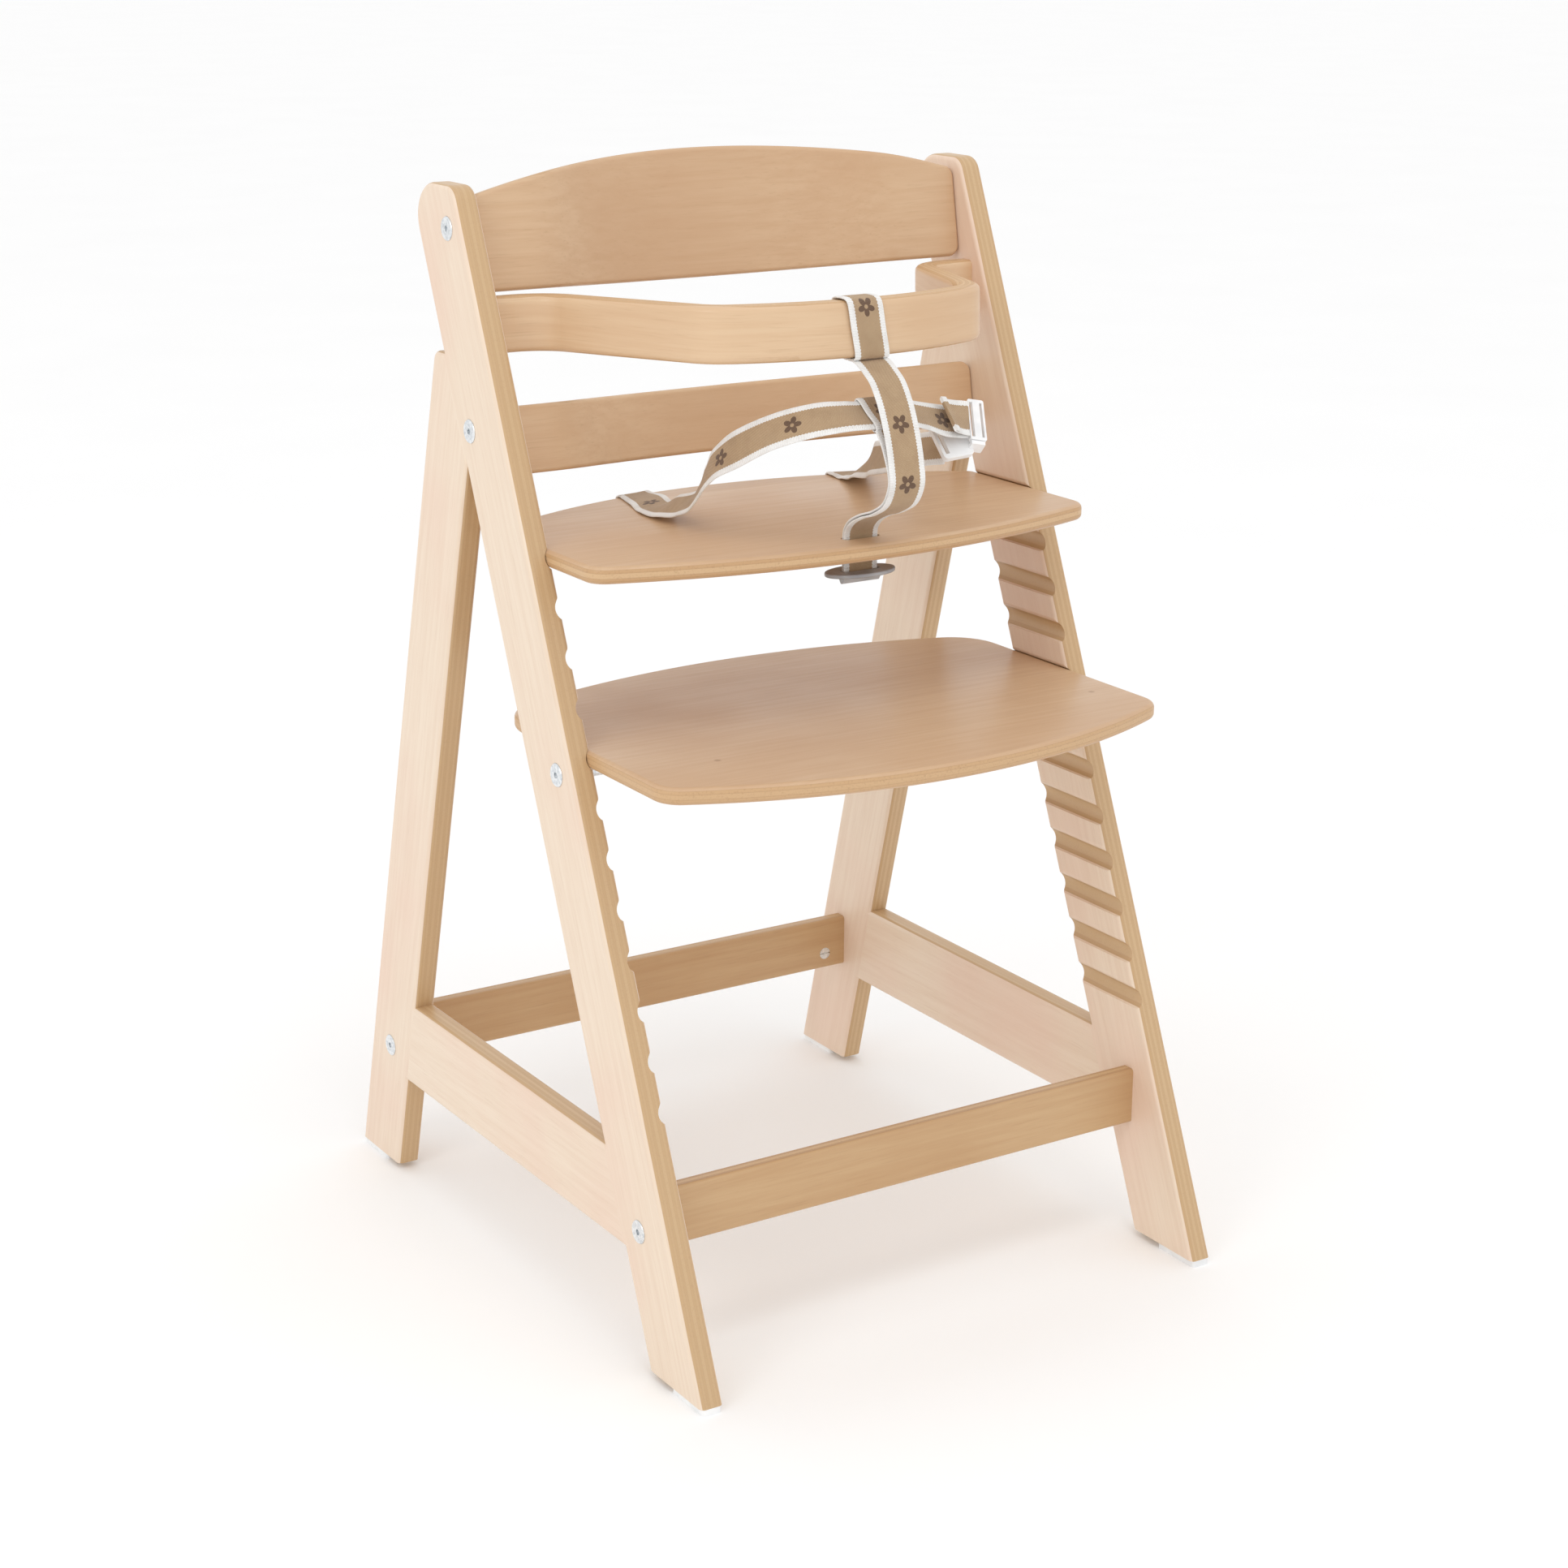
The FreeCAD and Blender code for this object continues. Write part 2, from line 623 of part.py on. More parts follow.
def over_edge(x, run, across):
    """Stations where a strap turns over the seat's rear edge, bottom first."""
    chord = SEAT_APEX[1] - SEAT_SIDE[1]
    radius = (BOARD_HALF ** 2 + chord ** 2) / (2 * chord)
    edge = SEAT_APEX[1] - radius + math.sqrt(radius ** 2 - x ** 2)
    gap = 0.6 + WEB_THICK / 2
    corner = ((gap + BOARD_ROUND) * math.sqrt(0.5)) - BOARD_ROUND
    spots = [
        (-9.0, SEAT_BOTTOM - gap),
        (-BOARD_ROUND, SEAT_BOTTOM - gap),
        (corner, SEAT_BOTTOM - corner),
        (gap, SEAT_BOTTOM + BOARD_ROUND),
        (gap, SEAT_TOP - BOARD_ROUND),
        (corner, SEAT_TOP + corner),
        (-BOARD_ROUND, SEAT_TOP + gap),
        (-9.0, SEAT_TOP + gap),
    ]
    return [(place(x + run * y, edge + y, z), across) for y, z in spots]


def waist_strap_long():
    """Left half: from under the seat over its rear edge, through the tunnel and the ladder frame, and back."""
    under = SEAT_BOTTOM - 1.4
    stations = [
        (place(-17, 176, under), (0.97, 0.25, 0)),
        (place(-38, 262, under), (0.98, 0.2, 0)),
    ]
    stations += over_edge(-65, 0, (0.986, 0.166, 0))
    stations += [
        (place(-71.7, 322.6, 553.7), (0.95, -0.27, 0.15)),
        (place(-79.5, 297.7, 554.2), (0.96, -0.2, 0.19)),
        (place(-83.0, 273.5, 559.6), (0.88, 0.07, 0.47)),
        (place(-82.0, 250.1, 565.1), (0.82, 0.2, 0.54)),
        (place(-83.2, 234.3, 574.3), (0.65, 0.4, 0.65)),
        (place(-85.8, 219.9, 587.6), (0.55, 0.53, 0.64)),
        (place(-86.6, 204.7, 601.4), (0.43, 0.59, 0.69)),
        (place(-79.9, 183.2, 615.4), (0.21, 0.58, 0.79)),
        (place(-66.0, 158.5, 629.7), (0.28, 0.62, 0.73)),
        (place(-46.2, 138.7, 638.4), (0.27, 0.68, 0.68)),
        (place(-27.0, 128.2, 641.0), (0.12, 0.8, 0.56)),
        (place(-16, 126.2, 640.8), (0, 0.839, 0.545)),
        (place(0, *WAIST_MID), (0, 0.839, 0.545)),
        (place(16, 126.2, 640.1), (0.03, 0.839, 0.545)),
        (place(34, 129.5, 635.9), (0.3, 0.8, 0.5)),
        (place(55, 131, 629.9), (0.33, 0.71, 0.63)),
        (place(75.4, 132, 627.6), (0.36, 0.62, 0.7)),
    ]
    return webbing(stations, slanted=(len(stations) - 1,))


def strap_tail():
    """Free end that comes back from the ladder frame over the strap's upper face, with its hem."""
    stations = [
        (place(76.2, 131.4, 629.9), (0.36, 0.62, 0.7)),
        (place(70, 130.0, 630.7), (0.3, 0.65, 0.7)),
        (place(61, 128.0, 633.0), (0.15, 0.68, 0.71)),
        (place(54.7, 125.8, 635.0), (0.03, 0.7, 0.72)),
    ]
    hem = [
        (place(59.0, 126.2, 635.0), (0.12, 0.68, 0.71)),
        (place(54.7, 124.7, 636.1), (0.03, 0.7, 0.72)),
    ]
    return webbing(stations, slanted=(0,)).fuse(webbing(hem)).removeSplitter()


def waist_strap_short():
    """Right half: from under the seat over its rear edge to the buckle's lower body."""
    under = SEAT_BOTTOM - 1.4
    stations = [
        (place(17, 176, under), (0.93, -0.35, 0)),
        (place(62, 262, under), (0.93, -0.35, 0)),
    ]
    stations += over_edge(115, 0.2, (0.956, -0.294, 0))
    stations += [
        (place(110, 322, 556), (0.93, -0.2, 0.3)),
        (place(99, 296, 566), (0.8, -0.1, 0.6)),
        (place(76.4, 250, 581.2), (0.5, 0.85, 0.17)),
        (place(65.6, 215, 589.8), (0.53, 0.73, 0.43)),
        (place(57.4, 159, 604.8), (0.42, 0.71, 0.56)),
        (place(63.0, 136.7, 610.4), (0.36, 0.65, 0.67)),
    ]
    return webbing(stations)


BUCKLE_MID = (82.3, 131.4, 627.0)
BODY_TURN = 20.0             # degrees that the buckle's lower body is turned from the ladder frame


def buckle_placed(shape):
    """From the buckle's own frame (X along the strap, Y across it, Z off its face) to the chair."""
    along = V(0.94, -0.3, -0.17).normalize()
    across = V(0.36, 0.62, 0.7)
    across = (across - along * across.dot(along)).normalize()
    off = along.cross(across)
    middle = place(*BUCKLE_MID)
    matrix = FreeCAD.Matrix(
        along.x, across.x, off.x, middle[0],
        along.y, across.y, off.y, middle[1],
        along.z, across.z, off.z, middle[2],
        0, 0, 0, 1,
    )
    return shape.transformGeometry(matrix)


def buckle_frame():
    """Ladder frame: a flat plate with a slot for the webbing and a narrow one beside it."""
    plate = block((-5.5, -17, -2), (6.5, 17, 2))
    plate = plate.makeFillet(1.5, [e for e in plate.Edges if e.BoundBox.ZLength > 3])
    for x, wide in ((-4.4, 2.4), (3.2, 1.8)):
        plate = plate.cut(block((x, -14.6, -3), (x + wide, 14.6, 3)))
    return buckle_placed(plate)


def buckle_body():
    """Lower half of the buckle behind the ladder frame, with a lip under the frame's lower end."""
    plate = block((-33, -22.5, -8.4), (-9, 9, -4.4))
    plate = plate.makeFillet(3.0, [e for e in plate.Edges if e.BoundBox.ZLength > 3])
    plate = plate.cut(block((-30.5, -18.5, -9), (-27.5, 5, -4)))
    plate.rotate(V(0, 0, 0), V(0, 0, 1), BODY_TURN)
    arm = block((-12, -20.5, -8.4), (5, -10, -4.4))
    lip = block((-5, -20.5, -8.4), (5, -17.5, 1.6))
    return buckle_placed(plate.fuse([arm, lip]).removeSplitter())


def anchor_plate():
    """Elliptical plate under the seat, with a slot for the two strap layers."""
    y = back(SLOT_BACK)
    low, high = PLATE_TOP - PLATE[2], PLATE_TOP
    rim = Part.Ellipse(V(0, y, low), PLATE[0] / 2, PLATE[1] / 2).toShape()
    solid = Part.Face(Part.Wire(rim)).extrude(V(0, 0, PLATE[2]))
    solid = solid.makeFillet(1.0, [e for e in solid.Edges if e.BoundBox.ZLength < 0.01])
    return solid.cut(block((-15, y - 3.4, low - 1), (15, y + 2.8, high + 1)))


def strap_keeper():
    """Bar of triangular section under the plate, which holds the strap ends."""
    y, top = back(SLOT_BACK), PLATE_TOP - PLATE[2]
    corners = [
        (y - KEEPER[1] / 2, top, 0.0),
        (y + KEEPER[1] / 2, top, 0.0),
        (y, top - KEEPER[2], 1.5),
    ]
    return side_prism(corners, -KEEPER[0] / 2, KEEPER[0] / 2)


def glide(span):
    solid = block((INNER + PLY / 2 - GLIDE_WIDE / 2, back(span[0]), 0),
                  (INNER + PLY / 2 + GLIDE_WIDE / 2, back(span[1]), FOOT))
    rim = [e for e in solid.Edges if e.BoundBox.ZLength > 1]
    return solid.makeFillet(3.0, rim)


# ---- the parts ---------------------------------------------------------------------------------
def bolt_places():
    """Y and height of every connector bolt, by name."""
    upper = leaned_point(BOARD / 2, 42.0, UPPER_PLACE)
    lower = leaned_point(BOARD / 2, -12.0, LOWER_PLACE)
    return {
        "upper_backrest_bolts": upper,
        "lower_backrest_bolts": lower,
        "tie_rod_bolts": (back(TIE[0]), TIE[1]),
        "front_rail_bolts": (back(RAIL_FACE[0]) + BOARD / 2, RAIL_BOLT[0]),
        "rear_rail_bolts": (back(RAIL_FACE[1]) + BOARD / 2, RAIL_BOLT[1]),
    }


def pin_places():
    """Y and height of the dowels beside the bolts of the boards between the side frames."""
    return [
        leaned_point(BOARD / 2, 12.0, UPPER_PLACE),
        leaned_point(BOARD / 2, -34.0, LOWER_PLACE),
        (back(RAIL_FACE[0]) + BOARD / 2, RAIL_LOW[0] + RAIL_TALL - 11),
        (back(RAIL_FACE[1]) + BOARD / 2, RAIL_LOW[1] + RAIL_TALL - 11),
    ]


def pin_lines():
    return [((INNER - 18, y, z), (INNER + 10, y, z)) for y, z in pin_places()]


def holes(lines, radius, extra=1.0):
    """Blind holes a little longer than the pins that sit in them."""
    made = []
    for start, end in lines:
        way = (V(*end) - V(*start)).normalize() * extra
        made.append(rod(radius + GLUE, tuple(V(*start) - way), tuple(V(*end) + way)))
    return Part.makeCompound(made)


def as_built(shape):
    return shape


def side_frame_cuts(bolts):
    """Every hole in the right side frame."""
    cuts = [holes(frame_dowel_lines(), DOWEL), holes(hoop_dowel_lines(), DOWEL), holes(pin_lines(), PIN)]
    return cuts + [bolt_space(y, z) for y, z in bolts.values()]


def make_side_frames(bolts):
    dowels = Part.makeCompound([rod(DOWEL, *line) for line in frame_dowel_lines()])
    for side, turn in (("right", as_built), ("left", mirrored)):
        whole = turn(side_frame())
        for space in side_frame_cuts(bolts):
            whole = whole.cut(turn(space))
        front_zone, rear_zone = turn(upright_zone()), turn(leg_zone())
        upright = whole.common(front_zone)
        for height in groove_heights():
            upright = upright.cut(turn(groove(height)))
        behind = whole.cut(front_zone)
        save(side + "_upright", upright)
        save(side + "_rear_leg", behind.common(rear_zone))
        save(side + "_side_rail", behind.cut(rear_zone))
        save(side + "_frame_dowels", turn(dowels))


def make_cross_boards(bolts):
    spaces = both(holes(pin_lines(), PIN))
    for name, place_of, edges in (
        ("upper_backrest", UPPER_PLACE, UPPER_EDGES),
        ("lower_backrest", LOWER_PLACE, LOWER_EDGES),
    ):
        solid = lean(slat(edges), place_of)
        y, z = bolts[name + "_bolts"]
        solid = solid.cut(both(bolt_space(y, z))).cut(spaces)
        seat = nut_space(y, z, SLAT_LEAN, front_open=False)
        save(name, solid.cut(both(seat)))
    for name, i, front_open in (("front_rail", 0, False), ("rear_rail", 1, True)):
        solid = rail(RAIL_FACE[i], RAIL_LOW[i])
        y, z = bolts[name + "_bolts"]
        solid = solid.cut(both(bolt_space(y, z))).cut(spaces)
        save(name, solid.cut(both(nut_space(y, z, 0, front_open))))
    save("slat_dowels", both(Part.makeCompound([rod(PIN, *line) for line in pin_lines()])))


def nut_space(y, z, tilt, front_open):
    """Blind hole for a barrel nut, open at the board's front or rear face."""
    blind, open_end = BOARD / 2 - 1.5, BOARD / 2 + 2
    span = (-open_end, blind) if front_open else (-blind, open_end)
    space = rod(NUT + RUN, (INNER - NUT_IN, span[0], 0), (INNER - NUT_IN, span[1], 0))
    return turned(space, y, z, tilt)


def turned(shape, y, z, tilt):
    shape.rotate(V(0, 0, 0), V(1, 0, 0), -tilt)
    shape.translate(V(0, y, z))
    return shape


def nut(y, z, tilt, front_open):
    """A barrel nut with its slotted end flush with the board's open face."""
    half = BOARD / 2
    low, high = (-half, half - 1.7) if front_open else (-half + 1.7, half)
    body = rod(NUT, (INNER - NUT_IN, low, 0), (INNER - NUT_IN, high, 0))
    thread = rod(BOLT + RUN / 2, (INNER - NUT_IN - 9, 0, 0), (INNER - NUT_IN + 9, 0, 0))
    face = low if front_open else high
    notch = block((INNER - NUT_IN - 6, face - 1.2, -0.6), (INNER - NUT_IN + 6, face + 1.2, 0.6))
    return turned(body.cut(thread).cut(notch), y, z, tilt)


def make_fasteners(bolts):
    for name, (y, z) in bolts.items():
        reach = TIE_BOLT_REACH if name == "tie_rod_bolts" else BOLT_REACH
        save(name, both(bolt(y, z, reach)))
    backs = [nut(*bolts[n + "_bolts"], SLAT_LEAN, False) for n in ("upper_backrest", "lower_backrest")]
    save("backrest_nuts", both(Part.makeCompound(backs)))
    rails = [nut(*bolts["front_rail_bolts"], 0, False), nut(*bolts["rear_rail_bolts"], 0, True)]
    save("rail_nuts", both(Part.makeCompound(rails)))
    y, z = bolts["tie_rod_bolts"]
    tie = rod(TIE_RADIUS, (-INNER, y, z), (INNER, y, z))
    thread = rod(BOLT + RUN / 2, (INNER - 18, y, z), (INNER + 1, y, z))
    save("tie_rod", tie.cut(both(thread)))


def make_hoop():
    spaces = both(holes(hoop_dowel_lines(), DOWEL))
    save("safety_hoop", hoop().cut(spaces))
    save("hoop_dowels", both(Part.makeCompound([rod(DOWEL, *line) for line in hoop_dowel_lines()])))


def make_boards():
    seat = board(SEAT_SIDE, SEAT_APEX, SEAT_CORNERS, SEAT_MID)
    save("seat_board", seat.cut(slot_space()))
    save("footrest_board", board(FOOTREST_SIDE, FOOTREST_APEX, FOOTREST_CORNERS, FOOTREST_MID))


def make_harness():
    save("crotch_strap", crotch_strap())
    save("strap_loop", strap_loop())
    save("waist_strap_long", waist_strap_long())
    save("strap_tail", strap_tail())
    save("waist_strap_short", waist_strap_short())
    save("buckle_frame", buckle_frame())
    save("buckle_body", buckle_body())
    save("anchor_plate", anchor_plate())
    save("strap_keeper", strap_keeper())


def make_glides():
    for end, span in (("front", GLIDE_FRONT), ("rear", GLIDE_REAR)):
        shape = glide(span)
        save("right_" + end + "_glide", shape)
        save("left_" + end + "_glide", mirrored(shape))


os.makedirs("parts", exist_ok=True)
BOLTS = bolt_places()
make_side_frames(BOLTS)
make_cross_boards(BOLTS)
make_fasteners(BOLTS)
make_hoop()
make_boards()
make_harness()
make_glides()
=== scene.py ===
import bmesh
import bpy
import math
import numpy as np
from mathutils import Matrix, Vector


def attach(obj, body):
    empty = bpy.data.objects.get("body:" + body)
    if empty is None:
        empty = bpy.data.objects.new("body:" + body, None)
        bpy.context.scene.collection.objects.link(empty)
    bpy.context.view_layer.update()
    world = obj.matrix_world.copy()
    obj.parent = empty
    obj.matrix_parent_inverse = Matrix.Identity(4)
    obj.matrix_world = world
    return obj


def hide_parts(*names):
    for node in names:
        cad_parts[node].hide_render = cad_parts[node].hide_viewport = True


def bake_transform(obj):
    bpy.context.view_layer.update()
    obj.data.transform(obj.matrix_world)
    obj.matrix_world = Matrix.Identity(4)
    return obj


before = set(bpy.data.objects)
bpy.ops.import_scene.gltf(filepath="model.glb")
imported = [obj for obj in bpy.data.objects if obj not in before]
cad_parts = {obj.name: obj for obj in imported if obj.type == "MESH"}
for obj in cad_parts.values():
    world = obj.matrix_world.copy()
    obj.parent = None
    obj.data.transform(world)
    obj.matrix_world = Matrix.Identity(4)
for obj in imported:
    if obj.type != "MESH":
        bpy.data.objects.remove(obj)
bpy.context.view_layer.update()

# Wooden baby high chair. Metres; X across, front at -Y, +Z up, origin on the floor.

MM = 0.001
FRONT = -268.5              # Y of the uprights' front bottom corner, mm
UPRIGHT_LEAN = 0.4176       # rearward run per unit of height
LEG_LEAN = 0.2613           # forward run per unit of height

# Middle planes of the flat boards, metres.
SIDE_MIDDLE = 0.2123        # |X| of the side frames
SEAT_MIDDLE = 0.5444        # height of the seat board
FOOTREST_MIDDLE = 0.4152
FRONT_RAIL_MIDDLE = -0.1855     # Y of the rails
REAR_RAIL_MIDDLE = 0.2087

# Seat board and bent pieces, mm. Places are Y behind the front foot and height.
BOARD = 12.0
SEAT_HALF = 207.4           # half the seat's width
SEAT_SIDE_END = 305.0       # Y where the seat's straight side ends
SEAT_APEX = 365.0           # Y of its rear arc's middle
SEAT_LOW, SEAT_HIGH = 538.4, 550.4
SEAT_ROUND = 4.0
UPPER_PLACE = (322.5, 716.9)
LOWER_PLACE = (305.2, 633.4)
SLAT_LEAN = math.radians(10.0)
SLAT_SAG = 30.0
SLAT_ARC = 358.9
HOOP_BACK = 314.9           # Y of the hoop's ends
HOOP_TOP = 711.5            # height of its top there
HOOP_RISE = math.radians(1.74)
HOOP_TALL = 39.0
HOOP_HALF_THICK = 8.3
HOOP_FRONT = 147.3          # Y of the front bar's centreline
HOOP_FRONT_ARC = 226.0
HOOP_BEND_X = 0.1608        # where end tabs and side arms would meet, metres
HOOP_TAPER = math.radians(20.9)
HOOP_EASE = 0.03            # softness of the hoop's bends, metres

# Harness, mm.
WEB = 28.0                  # webbing width
WEB_GAP = 1.4               # from a face to the middle of the webbing on it
SELVEDGE = 4.4              # white edge of the webbing
TOOTH, TOOTH_DEEP = 1.1, 0.6    # zigzag between the white edge and the beige
LOOP_MID = -4.5             # X of the loop round the hoop at half its height
LOOP_LEAN = 0.17
TWIST = 0.06                # forward lead of the hanging strap's one edge, per unit of width
TWIST_LOW = 565.4           # the twist grows from here over 30 mm
LAYERS_PART = 622.0         # height where the crotch strap's two layers part
WAIST_MID = (126.0, 640.5)  # where the waist strap runs through the tunnel
WAIST_TILT = math.radians(33.0)
TUNNEL_HALF, TUNNEL_THICK, TUNNEL_SOFT = 15.7, 2.2, 1.6
UNDER = 537.0               # height of the straps under the seat
TWILL, YARN, RIB = 1.25, 0.8, 1.1   # spacing of the twill lines, the yarns and the ribs
TWILL_SLOPE = 1.35
PETAL_BASE, PETAL_REACH = 3.0, 3.8  # the blossom's radius between petals and what a petal adds
PETALS = 5
MOTIF_REACH = 12            # half the length of webbing that a blossom may cover
NO_MOTIF = 50.0             # distance stated where a run has no blossom


# ---- node helpers ------------------------------------------------------------------------------
class Paint:
    """One material and short ways to add nodes to it."""

    def __init__(self, name):
        self.material = bpy.data.materials.new(name)
        self.material.use_nodes = True
        self.tree = self.material.node_tree
        self.shader = self.tree.nodes["Principled BSDF"]

    def node(self, kind, **settings):
        made = self.tree.nodes.new("ShaderNode" + kind)
        for key, value in settings.items():
            setattr(made, key, value)
        return made

    def feed(self, socket, value):
        if isinstance(value, bpy.types.NodeSocket):
            self.tree.links.new(value, socket)
        else:
            socket.default_value = value

    def math(self, operation, *values):
        made = self.node("Math", operation=operation)
        for socket, value in zip(made.inputs, values):
            self.feed(socket, value)
        return made.outputs[0]

    def vector_math(self, operation, *values):
        made = self.node("VectorMath", operation=operation)
        for socket, value in zip(made.inputs, values):
            self.feed(socket, value)
        return made.outputs["Value" if operation in ("DOT_PRODUCT", "LENGTH", "DISTANCE") else "Vector"]

    def split(self, vector):
        made = self.node("SeparateXYZ")
        self.feed(made.inputs[0], vector)
        return made.outputs[0], made.outputs[1], made.outputs[2]

    def join(self, x, y, z):
        made = self.node("CombineXYZ")
        for socket, value in zip(made.inputs, (x, y, z)):
            self.feed(socket, value)
        return made.outputs[0]

    def place(self):
        return self.node("TexCoord").outputs["Object"]

    def noise(self, vector, scale, detail=3.0, rough=0.5, distortion=0.0):
        made = self.node("TexNoise")
        self.feed(made.inputs["Vector"], vector)
        made.inputs["Scale"].default_value = scale
        made.inputs["Detail"].default_value = detail
        made.inputs["Roughness"].default_value = rough
        made.inputs["Distortion"].default_value = distortion
        return made.outputs["Fac"]

    def smooth(self, value, low, high, to_low=0.0, to_high=1.0):
        made = self.node("MapRange", interpolation_type="SMOOTHSTEP")
        for socket, given in zip(made.inputs, (value, low, high, to_low, to_high)):
            self.feed(socket, given)
        return made.outputs[0]

    def mix(self, share, first, second, blend="MIX"):
        made = self.node("Mix", data_type="RGBA", blend_type=blend)
        self.feed(made.inputs["Factor"], share)
        self.feed(made.inputs[6], first)
        self.feed(made.inputs[7], second)
        return made.outputs[2]

    def bump(self, height, distance, strength=1.0):
        made = self.node("Bump")
        self.feed(made.inputs["Height"], height)
        made.inputs["Distance"].default_value = distance
        made.inputs["Strength"].default_value = strength
        self.feed(self.shader.inputs["Normal"], made.outputs[0])

    def finish(self, **values):
        for key, value in values.items():
            self.feed(self.shader.inputs[key.replace("_", " ")], value)
        return self.material


def colour(code):
    """A linear colour from an sRGB hex code."""
    parts = [int(code[i:i + 2], 16) / 255 for i in (0, 2, 4)]
    return tuple(p / 12.92 if p <= 0.04045 else ((p + 0.055) / 1.055) ** 2.4 for p in parts) + (1.0,)


# ---- wood --------------------------------------------------------------------------------------
# Scale, detail, roughness and distortion of the woods' noises.
STREAKS = (190.0, 4.0, 0.62)
HAIRS = (900.0, 2.0, 0.55)
BROAD = (38.0, 2.5, 0.5, 0.35)
CLOUDS = (7.0, 2.0, 0.5)
EDGE_WAVE = (14.0, 2.0)
END_GRAIN = (700.0, 2.0, 0.6)
FIBRE = 0.04                # what is left of a length along the grain, so that marks are drawn out
FIGURE_LINES = 62.0         # how closely the broad figure's rings follow each other
WAVE_DEEP = 0.0006          # full range of a glue line's wander, metres
FACE_SANDED = 0.35          # what sanding has taken off the outer ply, mm


def wood(name, depth, grain, shades, seed, ply=2.0, half=9.0, tint=None):
    """Lacquered plywood. depth(paint, place) is the distance from the middle ply in metres. grain is
    the direction of the face veneer's grain, or None where it follows a level bend. shades are the
    face's pale and deep colours, the line colour, and the edge's pale and core colours."""
    paint = Paint(name)
    place = paint.place()
    pale, deep, line, edge_pale, core = [colour(code) for code in shades]
    streak, hair, figure, cloud = veneer(paint, place, grain, seed)
    flecks = knots(paint, place, seed)
    face = paint.mix(paint.smooth(streak, 0.3, 0.74, 0.0, 0.5), pale, deep)
    face = paint.mix(paint.smooth(figure, -0.2, 1.0, 0.0, 0.16), face, deep)
    face = paint.mix(paint.smooth(hair, 0.55, 0.8, 0.0, 0.20), face, line)
    face = paint.mix(paint.smooth(cloud, 0.38, 0.68, 0.0, 0.5), face, tint or deep)
    face = paint.mix(flecks, face, line)
    layer = plies(paint, place, depth, ply, half, seed)
    edge = ply_edge(paint, place, layer, (line, edge_pale, core), seed)
    whole = paint.mix(paint.smooth(layer, 0.86, 1.02), face, edge)

    grain_height = paint.math("ADD", paint.math("MULTIPLY", streak, 0.6), paint.math("MULTIPLY", hair, 0.4))
    grain_height = paint.math("SUBTRACT", grain_height, paint.math("MULTIPLY", flecks, 0.6))
    paint.bump(grain_height, 0.00012, 0.55)
    patches = paint.math("ADD", cloud, paint.math("MULTIPLY", streak, 0.35))
    rough = paint.smooth(patches, 0.4, 0.95, 0.37, 0.55)
    return paint.finish(Base_Color=whole, Roughness=rough, Coat_Weight=0.22, Coat_Roughness=0.24)


def veneer(paint, place, grain, seed):
    """The face's drawn-out streaks and hair lines, its broad figure and its clouds."""
    if grain:
        way = tuple(Vector(grain).normalized())
        along = paint.vector_math("DOT_PRODUCT", place, way)
        shrunk = scaled(paint, way, paint.math("MULTIPLY", along, FIBRE - 1))
        fibre = paint.vector_math("ADD", place, shrunk)
    else:
        fibre = paint.vector_math("MULTIPLY", place, (FIBRE, FIBRE, 1.0))
    seeded = paint.vector_math("ADD", fibre, (seed, seed * 0.7, seed * 1.3))
    broad = paint.noise(paint.vector_math("ADD", fibre, (seed, 3.1, 1.7)), *BROAD)
    figure = paint.math("SINE", paint.math("MULTIPLY", broad, FIGURE_LINES))
    cloud = paint.noise(paint.vector_math("ADD", place, (seed, 5.0, 2.0)), *CLOUDS)
    return paint.noise(seeded, *STREAKS), paint.noise(seeded, *HAIRS), figure, cloud


def plies(paint, place, depth, ply, half, seed):
    """Number of plies counted from the face inwards, with its fraction."""
    wave = paint.noise(paint.vector_math("ADD", place, (seed, 9.0, 4.0)), *EDGE_WAVE)
    wander = paint.math("MULTIPLY", paint.math("SUBTRACT", wave, 0.5), WAVE_DEEP)
    inner = paint.math("ADD", paint.math("ABSOLUTE", depth(paint, place)), wander)
    return paint.math("DIVIDE", paint.math("SUBTRACT", (half + FACE_SANDED) * MM, inner), ply * MM)


def ply_edge(paint, place, layer, shades, seed):
    """Colour of the board's edge: plies that differ, end grain and glue lines."""
    line, edge_pale, core = shades
    number = paint.math("FLOOR", layer)
    glue = paint.smooth(paint.math("PINGPONG", layer, 0.5), 0.03, 0.16, 1.0, 0.0)
    odd = paint.math("MODULO", number, 2.0)
    chance = paint.node("TexWhiteNoise", noise_dimensions="1D")
    paint.feed(chance.inputs["W"], paint.math("ADD", number, 3.0 + seed))
    end_grain = paint.noise(place, *END_GRAIN)
    edge = paint.mix(paint.math("MULTIPLY", chance.outputs["Value"], 0.45), edge_pale, core)
    edge = paint.mix(paint.math("MULTIPLY", odd, 0.38), edge, core)
    edge = paint.mix(paint.smooth(end_grain, 0.5, 0.75, 0.0, 0.28), edge, line)
    return paint.mix(paint.math("MULTIPLY", glue, 0.3), edge, line)


def scaled(paint, vector, amount):
    made = paint.node("VectorMath", operation="SCALE")
    paint.feed(made.inputs[0], vector)
    paint.feed(made.inputs["Scale"], amount)
    return made.outputs[0]


